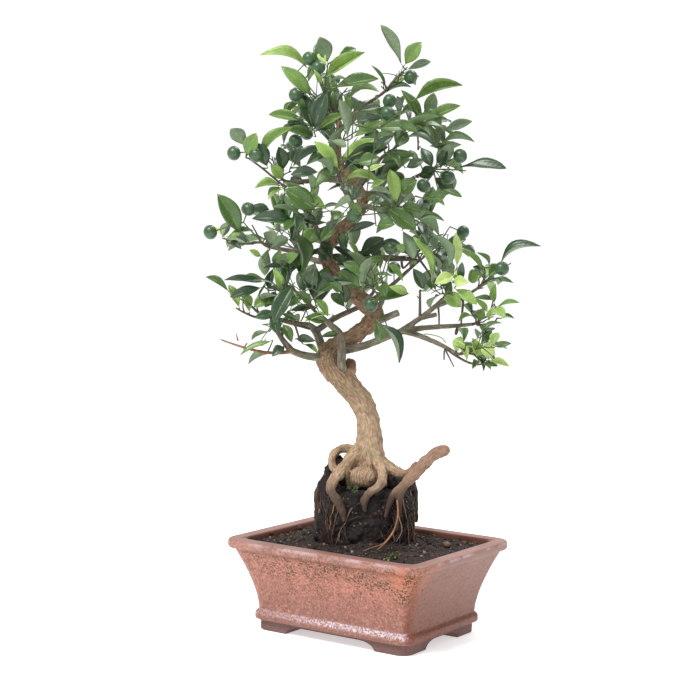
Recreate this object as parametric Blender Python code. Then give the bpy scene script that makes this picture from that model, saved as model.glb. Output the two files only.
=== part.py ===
"""A citrus bonsai in its ceramic pot: pot, soil, root ball, trunk, roots, boughs and foliage masses.

The assembly's empty stands at the middle of the whole object's footprint. The pot's long side runs
along X. The tree is modelled in its own frame, turned about Z, with side, depth and height in
millimetres from the middle of the pot's foot: depth grows away from the side that the tree shows.
"""

import math
import random

import bmesh
import bpy
from mathutils import Matrix, Vector
from mathutils.bvhtree import BVHTree

MM = 0.001
GAP = 0.3
WELD = 0.001
SLIVER = 0.02
NAME = "citrus_bonsai"

POT_FROM_CENTRE = (5.2, -4.0, 0.0)
TREE_TURN_DEG = 34.0

# The pot. Every outline of it is its rim's, moved in by an inset.
RIM_LENGTH = 210.0
RIM_WIDTH = 169.0
POT_HEIGHT = 85.0
POT_WALL = 7.0
FOOT_HEIGHT = 7.7
LIP_BOTTOM = 77.0
LIP_UNDERSIDE_INSET = 0.5
LIP_ROUNDING = 2.0
EDGE = 1.0
LIP_INNER_INSET = 13.0
FLARE_BOTTOM = 20.0
FLARE_TOP = 75.0
FLARE_BOTTOM_INSET = 22.0
FLARE_TOP_INSET = 5.0
FLARE_POWER = 1.55
FLARE_HEIGHTS = (FLARE_BOTTOM, 36.0, 50.0, 63.0, FLARE_TOP)
FLOOR_TOP = 16.0
INNER_HEIGHTS = (72.0, 45.0, FLOOR_TOP)
BAND_BOTTOM = 10.0
BAND_TOP = 18.5
BAND_INSET = 19.5
FOOT_INSET = 23.5
RIM_SQUARENESS = 10.0
BASE_SQUARENESS = 12.0
FOOT_LENGTH = 33.0
FOOT_SLOPE = 5.0
DRAIN_DIAMETER = 12.0
DRAIN_SPACING = 76.0
POT_SIDES = 32

# The soil bed, and the block of root-bound soil that the tree stands on.
SOIL_EDGE_HEIGHT = 79.0
SOIL_HEIGHT = 84.0
SOIL_RISE_INSETS = (30.0, 44.0)
BALL_MIDDLE = (-3.0, 0.0)
BALL_SIDE = 90.0
BALL_DEPTH = 84.0
BALL_BOTTOM = 70.0
BALL_TOP = 134.0
BALL_SQUARENESS = 3.4
BALL_SIDES = 20
BALL_WOBBLE = 0.03
BALL_RINGS = ((BALL_BOTTOM, 1.0), (100.0, 1.0), (118.0, 0.98), (128.0, 0.94), (BALL_TOP, 0.84))

TRUNK_SIDES = 10
ROOT_SIDES = 6
BOUGH_SIDES = 5
LUMPS = {
    "bulb": ((-7.0, -24.0, 146.0), (24.0, 18.0, 19.0)),
    "old_wound": ((-20.0, -6.0, 243.0), (12.0, 13.0, 18.0)),
}

# Limbs: side, depth, height and diameter along the middle of the wood.
TRUNK = [
    (-3, 0, BALL_TOP + GAP, 42), (-3, 0, 150, 38), (-2, 0, 163, 32), (-1, 0, 176, 25.5),
    (-2, 0, 188, 22.5), (-4, 0, 199, 21.5), (-9, -1, 211, 21.5), (-18, -3, 222, 21.5),
    (-28, -5, 233, 22), (-37, -6, 243, 23), (-40, -5, 252, 24), (-32, 0, 262, 18),
    (-17, 4, 271, 15.5), (-3, 8, 282, 16.5), (1, 9, 292, 18), (-8, 8, 301, 16.5),
    (-27, 0, 317, 14.5), (-42, -6, 337, 13.5), (-44, -6, 350, 13), (-35, -3, 363, 12.5),
    (-21, 3, 377, 12.5), (-13, 7, 390, 12), (-15, 6, 402, 11), (-27, 0, 415, 9.5),
    (-35, -3, 430, 8), (-36, -2, 447, 6.5), (-34, 0, 465, 5),
]
TRUNK_ROOTS = {
    "front_left": [
        (-8, -4, 172, 12), (-17, -14, 162, 12), (-26, -25, 151, 11), (-33, -33, 143, 10),
        (-35, -39, 136, 9), (-30, -43, 128, 8), (-25, -44, 119, 7), (-22, -44, 108, 4),
    ],
    "front_right": [
        (0, -4, 172, 12), (6, -18, 160, 10), (11, -30, 149, 9), (8, -38, 140, 8.5),
        (0, -42, 135, 8), (-5, -44, 128, 7), (-4, -44, 117, 4),
    ],
    "left_loop": [
        (-8, 4, 164, 10), (-22, 7, 169, 8), (-33, 5, 168, 7.5), (-38, -3, 162, 7),
        (-36, -12, 154, 7), (-28, -16, 150, 8),
    ],
    "right_arm": [
        (6, -4, 160, 11), (18, -14, 152, 9), (29, -20, 149, 8), (37, -20, 152, 7), (43, -18, 159, 6),
    ],
}
ROOTS = {
    "left_root": [[
        (-10, 6, 158, 11), (-26, 11, 150, 9), (-38, 9, 141, 8), (-46, 4, 130, 7),
        (-48, 0, 116, 6), (-48, -4, 98, 3.5),
    ]],
    "back_right_root": [[
        (4, 4, 160, 12), (18, 13, 151, 9), (31, 19, 142, 8), (40, 20, 132, 7),
        (43, 17, 118, 6), (44, 13, 98, 3.5),
    ]],
    "back_left_root": [[
        (-10, 8, 162, 12), (-22, 24, 150, 10), (-31, 35, 139, 9), (-35, 40, 126, 7), (-36, 41, 104, 4),
    ]],
    "back_root": [[
        (0, 8, 162, 12), (6, 26, 149, 10), (11, 37, 138, 8.5), (13, 42, 124, 7), (12, 42, 100, 4),
    ]],
    "raised_root": [[
        (67, -26, 172, 8), (58, -28, 169, 9), (49, -31, 161, 9.5), (39, -35, 151, 9.5),
        (31, -40, 143, 8.5), (27, -42, 133, 6.5), (26, -41, 118, 5), (24, -40, 100, 3.4),
    ], [
        (33, -39, 145, 7), (24, -41.5, 138, 6.5), (18, -41, 127, 5.5), (14, -40.5, 112, 3.4),
    ]],
}

BOUGHS = {
    "low_left_bough": ("trunk", [
        (-38, -6, 250, 9), (-50, -12, 252, 7.5), (-61, -18, 254, 7), (-73, -25, 259, 6),
        (-81, -26, 268, 5), (-87, -25, 277, 4),
    ]),
    "bare_twig": ("low_left_bough", [
        (-72, -25, 258, 4), (-85, -32, 257, 3.2), (-99, -37, 258, 2.8), (-118, -42, 263, 2.3),
        (-135, -46, 269, 1.4),
    ]),
    "left_rising_bough": ("trunk", [
        (-42, -2, 252, 10), (-47, 5, 262, 8.5), (-51, 11, 271, 7.5), (-57, 13, 278, 6.5),
        (-69, 11, 280, 5.5), (-84, 4, 284, 4.6), (-98, -2, 288, 3.8),
    ]),
    "dark_shoot": ("left_rising_bough", [
        (-52, 12, 274, 6.5), (-34, 20, 286, 5.5), (-15, 27, 295, 5), (4, 34, 306, 4.5),
        (20, 38, 319, 4), (33, 42, 331, 3.4),
    ]),
    "front_bough": ("trunk", [
        (-27, -6, 238, 9.5), (-28, -18, 248, 8.5), (-28, -22, 261, 8), (-30, -24, 274, 7.5),
        (-39, -28, 283, 6), (-48, -32, 291, 4.6),
    ]),
    "right_long_bough": ("trunk", [
        (-28, -3, 258, 9), (-12, -10, 262, 7.5), (3, -16, 268, 7), (23, -22, 277, 6.2),
        (41, -26, 281, 5.2), (59, -26, 283, 4.6), (77, -20, 284, 4), (88, -16, 285, 3.4),
    ]),
    "right_upper_bough": ("right_long_bough", [
        (22, -22, 276, 6), (33, -23, 284, 5.4), (44, -23, 292, 4.9), (55, -21, 301, 4.4),
        (62, -19, 308, 3.8),
    ]),
    "right_tip_bough": ("right_upper_bough", [
        (54, -21, 300, 4.2), (67, -18, 305, 3.8), (79, -15, 309, 3.4), (88, -12, 314, 3),
    ]),
    "right_low_bough": ("right_long_bough", [
        (27, -23, 278, 5.4), (37, -30, 276, 5.2), (47, -37, 273, 4.8), (60, -44, 268, 4.2),
        (72, -51, 262, 3.4),
    ]),
    "right_stub": ("right_upper_bough", [(42, -23, 290, 4.6), (49, -25, 292, 4.4), (56, -27, 294, 4.2)]),
    "cut_stub": ("trunk", [(3, 8, 284, 7.5), (14, 6, 289, 6.8), (23, 4, 293, 6.4)]),
    "mid_left_bough": ("trunk", [
        (-43, -6, 348, 6.5), (-56, -12, 347, 5.2), (-69, -17, 347, 4.6), (-84, -23, 349, 4),
        (-94, -27, 351, 3.4),
    ]),
    "mid_right_bough": ("trunk", [
        (-42, -5, 341, 6), (-28, 6, 339, 5.2), (-8, 13, 341, 4.6), (12, 16, 343, 4.2),
        (29, 17, 342, 3.6),
    ]),
    "up_left_bough": ("trunk", [
        (-26, 0, 414, 6.5), (-44, -6, 412, 5.2), (-61, -11, 410, 4.6), (-78, -16, 409, 3.8),
    ]),
    "up_right_bough": ("trunk", [
        (-14, 6, 398, 7), (3, 7, 402, 5.6), (21, 6, 408, 4.8), (35, 4, 416, 4),
    ]),
    "shoulder_bough": ("trunk", [
        (-34, -3, 427, 6), (-14, 3, 439, 4.8), (6, 8, 449, 4.2), (20, 11, 457, 3.6),
    ]),
    "top_right_bough": ("trunk", [
        (-35, -1, 454, 5), (-23, 2, 469, 4), (-9, 5, 481, 3.5), (2, 7, 489, 3),
    ]),
    "front_upper_bough": ("trunk", [
        (-21, 3, 377, 6), (-22, -12, 388, 4.8), (-27, -24, 399, 4.2), (-32, -34, 410, 3.6),
    ]),
    "front_right_bough": ("trunk", [
        (-14, 6, 389, 6), (-2, -7, 387, 4.8), (8, -19, 384, 4.2), (15, -28, 382, 3.6),
    ]),
    "front_mid_bough": ("trunk", [
        (-8, 8, 301, 6), (-8, -6, 303, 4.8), (-6, -18, 306, 4.2), (-2, -28, 311, 3.6),
    ]),
    "back_low_bough": ("trunk", [
        (0, 9, 292, 8), (4, 26, 295, 6.2), (8, 43, 300, 5.2), (10, 56, 307, 4),
    ]),
    "back_left_bough": ("trunk", [
        (-42, -6, 338, 7), (-52, 12, 338, 5.6), (-62, 29, 341, 4.6), (-69, 41, 346, 3.8),
    ]),
    "back_mid_bough": ("trunk", [
        (-36, -3, 362, 7), (-30, 14, 365, 5.6), (-23, 31, 370, 4.6), (-18, 44, 376, 3.8),
    ]),
    "back_upper_bough": ("trunk", [
        (-23, 2, 411, 6.5), (-29, 16, 418, 5.2), (-33, 29, 428, 4.2), (-34, 38, 437, 3.6),
    ]),
    "front_middle_bough": ("trunk", [(-42, -6, 356, 6), (-49, -18, 363, 4.6), (-55, -28, 372, 3.8)]),
    "front_shoulder_bough": ("trunk", [
        (-19, 4, 406, 6), (-8, -8, 419, 4.8), (3, -19, 431, 3.8),
    ]),
}

# Foliage masses: the bough each grows from, the middle and half sizes of its space, the ends of
# the shoots that make its outline, how many more shoots fill it, its leaves' length and its fruits.
MASSES = {
    "low_left_foliage": ("low_left_bough", (-90, -18, 288), (50, 46, 40), [
        (-128, -18, 285), (-113, -22, 262), (-52, -36, 268)], 3, 32, [(-88, -30, 268)]),
    "left_tip_foliage": ("left_rising_bough", (-122, -4, 304), (42, 46, 36), [
        (-151, -10, 325), (-135, -6, 322), (-140, 8, 300)], 2, 27, []),
    "front_left_foliage": ("front_bough", (-76, -42, 318), (54, 48, 52), [
        (-90, -50, 278), (-34, -48, 326), (-100, -50, 352), (-104, -44, 300)], 3, 40, []),
    "mid_left_foliage": ("mid_left_bough", (-112, -32, 364), (44, 54, 50), [
        (-141, -36, 400), (-150, -34, 352), (-90, -40, 386)], 3, 40,
        [(-146, -36, 363), (-113, -32, 384)]),
    "up_left_foliage": ("up_left_bough", (-98, -20, 428), (50, 56, 46), [
        (-130, -26, 459), (-106, -22, 462), (-113, -22, 398), (-80, -34, 392)], 3, 36,
        [(-127, -26, 433), (-107, -30, 432)]),
    "apex_left_foliage": ("trunk", (-58, -6, 494), (56, 52, 56), [
        (-104, -12, 525), (-86, -8, 510), (-53, -5, 539), (-14, -8, 526), (-2, 0, 502),
        (-102, -12, 470), (-88, -20, 446)], 3, 38,
        [(-62, -16, 518), (-54, -20, 510), (-74, -10, 486), (-73, -14, 445)]),
    "apex_right_foliage": ("top_right_bough", (22, 8, 512), (50, 48, 42), [
        (2, 8, 549), (38, 10, 534), (47, 6, 518), (-10, 8, 514)], 3, 36, [(25, 4, 506)]),
    "shoulder_foliage": ("shoulder_bough", (44, 10, 468), (48, 52, 42), [
        (76, 6, 500), (74, 10, 480), (86, 4, 466)], 4, 38, [(10, -4, 483)]),
    "up_right_foliage": ("up_right_bough", (64, 2, 430), (54, 54, 44), [
        (115, 0, 425), (89, 2, 451), (76, 6, 396)], 4, 38,
        [(71, -10, 434), (64, -6, 416), (42, -16, 408)]),
    "front_upper_foliage": ("front_upper_bough", (-38, -50, 442), (56, 50, 52), [
        (-54, -62, 458), (-8, -62, 454), (-68, -58, 412), (4, -56, 424)], 3, 39, []),
    "front_middle_foliage": ("front_middle_bough", (-62, -46, 402), (54, 48, 48), [
        (-88, -50, 386), (-82, -54, 420), (-30, -58, 416)], 3, 42, []),
    "front_shoulder_foliage": ("front_shoulder_bough", (26, -38, 448), (50, 46, 44), [
        (40, -56, 462), (-6, -60, 446)], 4, 40, [(8, -40, 470)]),
    "front_right_foliage": ("front_right_bough", (28, -40, 386), (52, 50, 50), [
        (14, -54, 424), (44, -60, 380), (56, -44, 348), (-10, -58, 398)], 4, 40, [(-20, -40, 380)]),
    "front_mid_foliage": ("front_mid_bough", (-2, -44, 328), (50, 46, 48), [
        (36, -44, 312), (24, -40, 254), (-4, -52, 356)], 3, 38, [(-3, -36, 302), (14, -30, 352)]),
    "mid_right_foliage": ("mid_right_bough", (48, 16, 352), (48, 52, 48), [
        (64, 10, 394), (68, 6, 380)], 4, 38, []),
    "right_foliage": ("right_upper_bough", (66, -20, 328), (40, 48, 40), [
        (73, -20, 366), (84, -26, 360), (44, -36, 346)], 4, 30, []),
    "right_tip_foliage": ("right_tip_bough", (108, -10, 332), (48, 46, 40), [
        (145, -10, 360), (96, -6, 356), (126, -8, 326)], 3, 32, [(112, -16, 334)]),
    "right_mid_foliage": ("right_long_bough", (106, -16, 296), (36, 44, 28), [
        (130, -12, 305), (121, -14, 291), (107, -14, 320)], 3, 24, [(84, -24, 290)]),
    "right_low_foliage": ("right_low_bough", (92, -60, 266), (38, 46, 28), [
        (119, -62, 252), (119, -62, 272), (113, -60, 280)], 4, 24, []),
    "back_low_foliage": ("back_low_bough", (12, 84, 314), (64, 52, 54), [], 5, 39, [(20, 96, 330)]),
    "back_right_foliage": ("dark_shoot", (66, 64, 358), (58, 54, 54), [], 5, 40, [(84, 76, 366)]),
    "back_left_foliage": ("back_left_bough", (-82, 66, 350), (60, 54, 54), [], 5, 40, [(-96, 80, 352)]),
    "back_mid_foliage": ("back_mid_bough", (-10, 80, 404), (60, 50, 52), [], 5, 40, []),
    "back_upper_foliage": ("back_upper_bough", (-28, 58, 462), (76, 52, 58), [], 6, 40, [(-66, 80, 456)]),
}

# The rule that grows a mass.
SEED = 20
TWIG_SIDES = 3
TURN_DEG = 137.5
SKIN_SLACK = 1.08
SHOOT_SPREAD_DEG = 42.0
STEM_CLEAR_DEG = 50.0
FILL_REACH = (0.88, 1.0)
FILL_OWNED = 0.8
STEM_DIAMETERS = (3.0, 2.0)
STEM_REACH = 0.5
STEM_STEPS = 3
SHOOT_DIAMETERS = (1.5, 1.1)
SHOOT_STEPS = 2
FIRST_SHOOT = 0.3
SHORTEST_SHOOT = 6.0
SHOOT_DROOP = (0.08, 0.05)
END_LEAF_SHARE = 0.9
END_LEAF_STRETCH = 1.1
SPRAY_LEAVES = 2
SPRAY_SPOTS = (0.9, 0.75)
LEAF_SIZES = (0.78, 1.05)
LEAF_WIDTHS = (0.85, 1.1)
LEAF_SPLAY_DEG = (42.0, 68.0)
LEAF_LIFT = (-0.25, 0.3)
RETRY_DEG = 51.0
LEAF_WIDTH = 0.52
LEAF_THICKNESS = 1.0
LEAF_WIDEST = 0.56
LEAF_ARCH = 0.09
LEAF_SUNK = 0.15
LEAF_CLEAR_FROM = 0.09
SMALLEST_LEAF = 0.6
FRUIT_DIAMETER = 13.0
STALK_DIAMETER = 1.6
NEAREST_FRUIT = 0.8
CLEAR = 0.4
TRIES = 7


def collection(name, parent, hidden=False):
    made = bpy.data.collections.new(name)
    parent.children.link(made)
    made.hide_render = hidden
    return made


def material(name, colour, roughness):
    made = bpy.data.materials.new(name)
    made.use_nodes = True
    shader = made.node_tree.nodes["Principled BSDF"]
    shader.inputs["Base Color"].default_value = (*colour, 1.0)
    shader.inputs["Roughness"].default_value = roughness
    shader.inputs["Metallic"].default_value = 0.0
    made.diffuse_color = (*colour, 1.0)
    return made


# Shapes

def mm(point):
    return Vector(point) * MM


def add_object(name, mesh, home, parent, finish=None):
    made = bpy.data.objects.new(name, mesh)
    home.objects.link(made)
    made.parent = parent
    if finish is not None:
        mesh.materials.append(finish)
    return made


def outline(half_length, half_width, squareness, sides):
    """A rounded rectangle as a superellipse, whose points crowd at its corners."""
    points = []
    for step in range(sides):
        turn = math.tau * step / sides
        across = math.copysign(abs(math.cos(turn)) ** (2 / squareness), math.cos(turn))
        along = math.copysign(abs(math.sin(turn)) ** (2 / squareness), math.sin(turn))
        points.append((half_length * across, half_width * along))
    return points


def mesh_from(shape, name):
    """A mesh from a closed bmesh, its faces turned outwards."""
    bmesh.ops.recalc_face_normals(shape, faces=shape.faces)
    if shape.calc_volume(signed=True) < 0:
        bmesh.ops.reverse_faces(shape, faces=shape.faces)
    mesh = bpy.data.meshes.new(name)
    shape.to_mesh(mesh)
    shape.free()
    return mesh


def loft(name, rings):
    """A closed skin over a stack of outlines with equal counts, each given with its height in mm."""
    shape = bmesh.new()
    layers = [[shape.verts.new(mm((x, y, height))) for x, y in ring] for ring, height in rings]
    count = len(layers[0])
    for lower, upper in zip(layers, layers[1:]):
        for step in range(count):
            after = (step + 1) % count
            shape.faces.new((lower[step], lower[after], upper[after], upper[step]))
    shape.faces.new(reversed(layers[0]))
    shape.faces.new(layers[-1])
    return mesh_from(shape, name)


def round_profile(sides, home):
    """A unit polygon that curves take as their section."""
    name = f"section_{sides}"
    if name in bpy.data.objects:
        return bpy.data.objects[name]
    curve = bpy.data.curves.new(name, "CURVE")
    spline = curve.splines.new("POLY")
    spline.points.add(sides - 1)
    spline.use_cyclic_u = True
    for step, point in enumerate(spline.points):
        turn = math.tau * step / sides
        point.co = (math.cos(turn), math.sin(turn), 0.0, 1.0)
    return add_object(name, curve, home, None)


def tube(name, rings, sides, home, parent, guides, grow=0.0):
    """A tapering limb as a mesh: a curve with a round section, its caps welded on."""
    curve = bpy.data.curves.new(name, "CURVE")
    curve.dimensions = "3D"
    curve.bevel_mode = "OBJECT"
    curve.bevel_object = round_profile(sides, guides)
    curve.use_fill_caps = True
    spline = curve.splines.new("POLY")
    spline.points.add(len(rings) - 1)
    for point, (x, y, z, diameter) in zip(spline.points, rings):
        point.co = (*mm((x, y, z)), 1.0)
        point.radius = (diameter / 2 + grow) * MM
    drawn = add_object(name, curve, home, parent)
    bpy.context.view_layer.update()
    graph = bpy.context.evaluated_depsgraph_get()
    skin = bpy.data.meshes.new_from_object(drawn.evaluated_get(graph))
    bpy.data.objects.remove(drawn)
    bpy.data.curves.remove(curve)
    shape = bmesh.new()
    shape.from_mesh(skin)
    bpy.data.meshes.remove(skin)
    bmesh.ops.remove_doubles(shape, verts=shape.verts, dist=WELD * MM)
    return add_object(name, mesh_from(shape, name), home, parent)


def boolean(target, operation, other, solver="EXACT"):
    cut = target.modifiers.new(operation.lower(), "BOOLEAN")
    cut.operation = operation
    cut.solver = solver
    if isinstance(other, bpy.types.Collection):
        cut.operand_type = "COLLECTION"
        cut.collection = other
    else:
        cut.object = other
    return cut


def keep_largest(mesh):
    """Drops the loose scraps, sealed hollows and slivers that a union or a cut leaves."""
    shape = bmesh.new()
    shape.from_mesh(mesh)
    waiting = set(shape.faces)
    islands = []
    while waiting:
        front = [waiting.pop()]
        island = []
        while front:
            face = front.pop()
            island.append(face)
            for edge in face.edges:
                near = waiting.intersection(edge.link_faces)
                waiting -= near
                front += near
        islands.append(island)
    islands.sort(key=len)
    scraps = [face for island in islands[:-1] for face in island]
    bmesh.ops.delete(shape, geom=scraps, context="FACES")
    shape.to_mesh(mesh)
    bmesh.ops.triangulate(shape, faces=shape.faces)
    bmesh.ops.dissolve_degenerate(shape, dist=SLIVER * MM, edges=shape.edges)
    if all(len(edge.link_faces) == 2 for edge in shape.edges):
        shape.to_mesh(mesh)
    shape.free()


def apply_boolean(target, operation, other, solver="EXACT"):
    boolean(target, operation, other, solver)
    bpy.context.view_layer.update()
    graph = bpy.context.evaluated_depsgraph_get()
    result = bpy.data.meshes.new_from_object(target.evaluated_get(graph))
    target.modifiers.clear()
    keep_largest(result)
    old = target.data
    name = old.name
    target.data = result
    bpy.data.meshes.remove(old)
    result.name = name


def join_all(target, pieces, solver):
    """One union of the target with a collection of pieces, applied, with the pieces then removed."""
    apply_boolean(target, "UNION", pieces, solver)
    for piece in list(pieces.objects):
        bpy.data.objects.remove(piece)
    bpy.data.collections.remove(pieces)


# The pot and the soil

def wall_inset(height):
    """How far the pot's outer wall stands inside its rim at a height between band and lip."""
    share = (height - FLARE_BOTTOM) / (FLARE_TOP - FLARE_BOTTOM)
    return FLARE_BOTTOM_INSET - (FLARE_BOTTOM_INSET - FLARE_TOP_INSET) * max(share, 0.0) ** FLARE_POWER


def pot_outline(inset, height):
    share = height / POT_HEIGHT
    squareness = BASE_SQUARENESS + (RIM_SQUARENESS - BASE_SQUARENESS) * share
    ring = outline(RIM_LENGTH / 2 - inset, RIM_WIDTH / 2 - inset, squareness, POT_SIDES)
    return ring, height


def add_pot(home, cutters, parent, finish):
    rings = [
        pot_outline(FOOT_INSET, 0.0), pot_outline(FOOT_INSET, BAND_BOTTOM - EDGE),
        pot_outline(BAND_INSET, BAND_BOTTOM), pot_outline(BAND_INSET, BAND_TOP),
    ]
    rings += [pot_outline(wall_inset(height), height) for height in FLARE_HEIGHTS]
    rings += [
        pot_outline(LIP_UNDERSIDE_INSET, LIP_BOTTOM), pot_outline(0.0, LIP_BOTTOM + LIP_ROUNDING),
        pot_outline(0.0, POT_HEIGHT - EDGE), pot_outline(EDGE, POT_HEIGHT),
        pot_outline(LIP_INNER_INSET, POT_HEIGHT),
    ]
    rings += [pot_outline(inner_inset(height), height) for height in INNER_HEIGHTS]
    pot = add_object("pot", loft("pot", rings), home, parent, finish)
    for name, span, along_x in (("foot_gap_x", RIM_LENGTH, True), ("foot_gap_y", RIM_WIDTH, False)):
        boolean(pot, "DIFFERENCE", foot_cutter(name, span, along_x, cutters, parent))
    for side in (-1, 1):
        boolean(pot, "DIFFERENCE", drain_cutter(side, cutters, parent))


def inner_inset(height, gap=0.0):
    return max(wall_inset(height) + POT_WALL, LIP_INNER_INSET) + gap


def foot_cutter(name, span, along_x, cutters, parent):
    """The arched gap between the feet: a bar with sloping sides right across under the pot."""
    half_gap = (RIM_WIDTH if along_x else RIM_LENGTH) / 2 - FOOT_INSET - FOOT_LENGTH
    shape = bmesh.new()
    bmesh.ops.create_cube(shape, size=1.0)
    for vert in shape.verts:
        top = vert.co.z > 0
        width = half_gap - FOOT_SLOPE if top else half_gap + EDGE
        vert.co = mm((vert.co.x * span, vert.co.y * 2 * width, FOOT_HEIGHT if top else -EDGE))
    cutter = add_object(name, mesh_from(shape, name), cutters, parent)
    cutter.rotation_euler.z = 0.0 if along_x else math.pi / 2
    return cutter


def drain_cutter(side, cutters, parent):
    shape = bmesh.new()
    bmesh.ops.create_cone(
        shape, cap_ends=True, segments=12, radius1=DRAIN_DIAMETER / 2 * MM,
        radius2=DRAIN_DIAMETER / 2 * MM, depth=2 * FLOOR_TOP * MM,
    )
    cutter = add_object("drain_hole", mesh_from(shape, "drain_hole"), cutters, parent)
    cutter.location = mm((side * DRAIN_SPACING / 2, 0.0, FLOOR_TOP / 2))
    return cutter


def add_soil_bed(home, parent, finish):
    heights = (FLOOR_TOP + GAP, *INNER_HEIGHTS[-2::-1])
    rings = [pot_outline(inner_inset(height, GAP), height) for height in heights]
    rings += [
        pot_outline(LIP_INNER_INSET + GAP, SOIL_EDGE_HEIGHT),
        pot_outline(SOIL_RISE_INSETS[0], (SOIL_EDGE_HEIGHT + SOIL_HEIGHT) / 2),
        pot_outline(SOIL_RISE_INSETS[1], SOIL_HEIGHT),
    ]
    return add_object("soil_bed", loft("soil_bed", rings), home, parent, finish)


def ball_mesh(name, grow):
    """The root ball: a block with rounded corners that narrows at its top, its sides a little uneven."""
    rng = random.Random(SEED)
    block = [
        (x * (1 + wobble), y * (1 + wobble))
        for (x, y), wobble in zip(
            outline(BALL_SIDE / 2, BALL_DEPTH / 2, BALL_SQUARENESS, BALL_SIDES),
            [rng.uniform(-BALL_WOBBLE, BALL_WOBBLE) for _ in range(BALL_SIDES)],
        )
    ]
    middle_x, middle_y = BALL_MIDDLE
    rings = []
    for height, share in BALL_RINGS:
        ring = [
            (middle_x + x * share + math.copysign(grow, x), middle_y + y * share + math.copysign(grow, y))
            for x, y in block
        ]
        rings.append((ring, height))
    rings[0] = (rings[0][0], BALL_BOTTOM - grow)
    return loft(name, rings)


# The growth rule

def mass_middle(mass):
    return Vector(MASSES[mass][1])


def depth_in(mass, point):
    """How far out a point lies in a mass's space: 0 at its middle, 1 at its skin."""
    away = Vector(point) - mass_middle(mass)
    return Vector(a / b for a, b in zip(away, MASSES[mass][2])).length


def owns(mass, point):
    """Whether a point lies in a mass's own space: inside its skin, and deeper in it than in any other."""
    own = depth_in(mass, point)
    return own <= SKIN_SLACK and all(own <= depth_in(other, point) for other in MASSES if other != mass)


def tube_polygons(rings, sides, grow):
    """The skin of a tube through rings (x, y, z, diameter), as points and faces for a clearance test."""
    points = []
    faces = []
    for index, ring in enumerate(rings):
        ahead = Vector(rings[min(index + 1, len(rings) - 1)][:3]) - Vector(rings[max(index - 1, 0)][:3])
        across = ahead.orthogonal().normalized()
        upward = ahead.normalized().cross(across)
        radius = ring[3] / 2 + grow
        for step in range(sides):
            turn = math.tau * step / sides
            points.append(Vector(ring[:3]) + (across * math.cos(turn) + upward * math.sin(turn)) * radius)
        if index:
            base = index * sides
            for step in range(sides):
                after = (step + 1) % sides
                faces.append((base + step, base + after, base + after - sides, base + step - sides))
    faces.append(tuple(range(sides)))
    faces.append(tuple(range(len(points) - sides, len(points))))
    return points, faces


def skin_tree(skins):
    """One search tree over several skins."""
    points = []
    faces = []
    for skin_points, skin_faces in skins:
        faces += [tuple(index + len(points) for index in face) for face in skin_faces]
        points += skin_points
    return BVHTree.FromPolygons(points, faces)


def leaf_frame(base, tip, face_up):
    """Axes of a leaf: along it, across it and out of its upper face."""
    along = (tip - base).normalized()
    out = (face_up - along * face_up.dot(along)).normalized()
    return along, out.cross(along), out


def leaf_points(leaf, grow=0.0, start=0.0):
    """The five corners of a leaf's solid: its two ends, its two sides and the ridge of its upper face."""
    base, tip, face_up, width = leaf
    along, across, out = leaf_frame(base, tip, face_up)
    length = (tip - base).length
    arch = out * LEAF_ARCH * length
    half = across * (width / 2 + grow)
    widest = base + along * length * LEAF_WIDEST + arch - out * grow
    ridge = base + along * length * LEAF_WIDEST + arch + out * (LEAF_THICKNESS + grow)
    root = base + (along * length + arch) * start if start else base - along * LEAF_SUNK
    return [root, tip + along * grow, widest - half, widest + half, ridge]


LEAF_FACES = [(0, 2, 4), (0, 4, 3), (1, 4, 2), (1, 3, 4), (0, 3, 2), (1, 2, 3)]


def ball_points(middle, diameter, grow):
    shape = bmesh.new()
    bmesh.ops.create_icosphere(shape, subdivisions=1, radius=diameter / 2 + grow)
    points = [vert.co + Vector(middle) for vert in shape.verts]
    faces = [tuple(vert.index for vert in face.verts) for face in shape.faces]
    shape.free()
    return points, faces


def arc(start, control, end, diameters, steps):
    """Rings along a bent shoot that tapers."""
    rings = []
    for step in range(steps + 1):
        t = step / steps
        point = start * (1 - t) ** 2 + control * 2 * t * (1 - t) + end * t**2
        rings.append((*point, diameters[0] + (diameters[1] - diameters[0]) * t))
    return rings


def sphere_directions(count, turn):
    """Directions spread evenly over a sphere, on a golden spiral."""
    for step in range(count):
        height = 1 - 2 * (step + 0.5) / count
        ring = math.sqrt(1 - height**2)
        angle = math.radians(TURN_DEG) * step + turn
        yield Vector((ring * math.cos(angle), ring * math.sin(angle), height))


def bough_end(bough):
    """Where a mass's stem starts, just past its bough's tip, and which way the bough points there."""
    rings = TRUNK if bough == "trunk" else BOUGHS[bough][1]
    tip = Vector(rings[-1][:3])
    ahead = (tip - Vector(rings[-2][:3])).normalized()
    return tip + ahead * GAP, ahead


def shoot_targets(mass, rng, stem_start):
    """The outer ends of a mass's shoots: those of its outline, then more where none is near."""
    _, middle, reach, tips, more, *_ = MASSES[mass]
    middle = Vector(middle)
    targets = [Vector(tip) for tip in tips]
    away = [(target - middle).normalized() for target in targets]
    back = (stem_start - middle).normalized()
    added = 0
    for way in sphere_directions(4 * more, rng.uniform(0, math.tau)):
        if added == more:
            break
        crowded = any(way.angle(other) < math.radians(SHOOT_SPREAD_DEG) for other in away)
        if crowded or way.angle(back) < math.radians(STEM_CLEAR_DEG):
            continue
        spread = Vector(a * b for a, b in zip(way, reach)) * rng.uniform(*FILL_REACH)
        if not owns(mass, middle + spread * FILL_OWNED):
            continue
        targets.append(middle + spread)
        away.append(way)
        added += 1
    return targets


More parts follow.
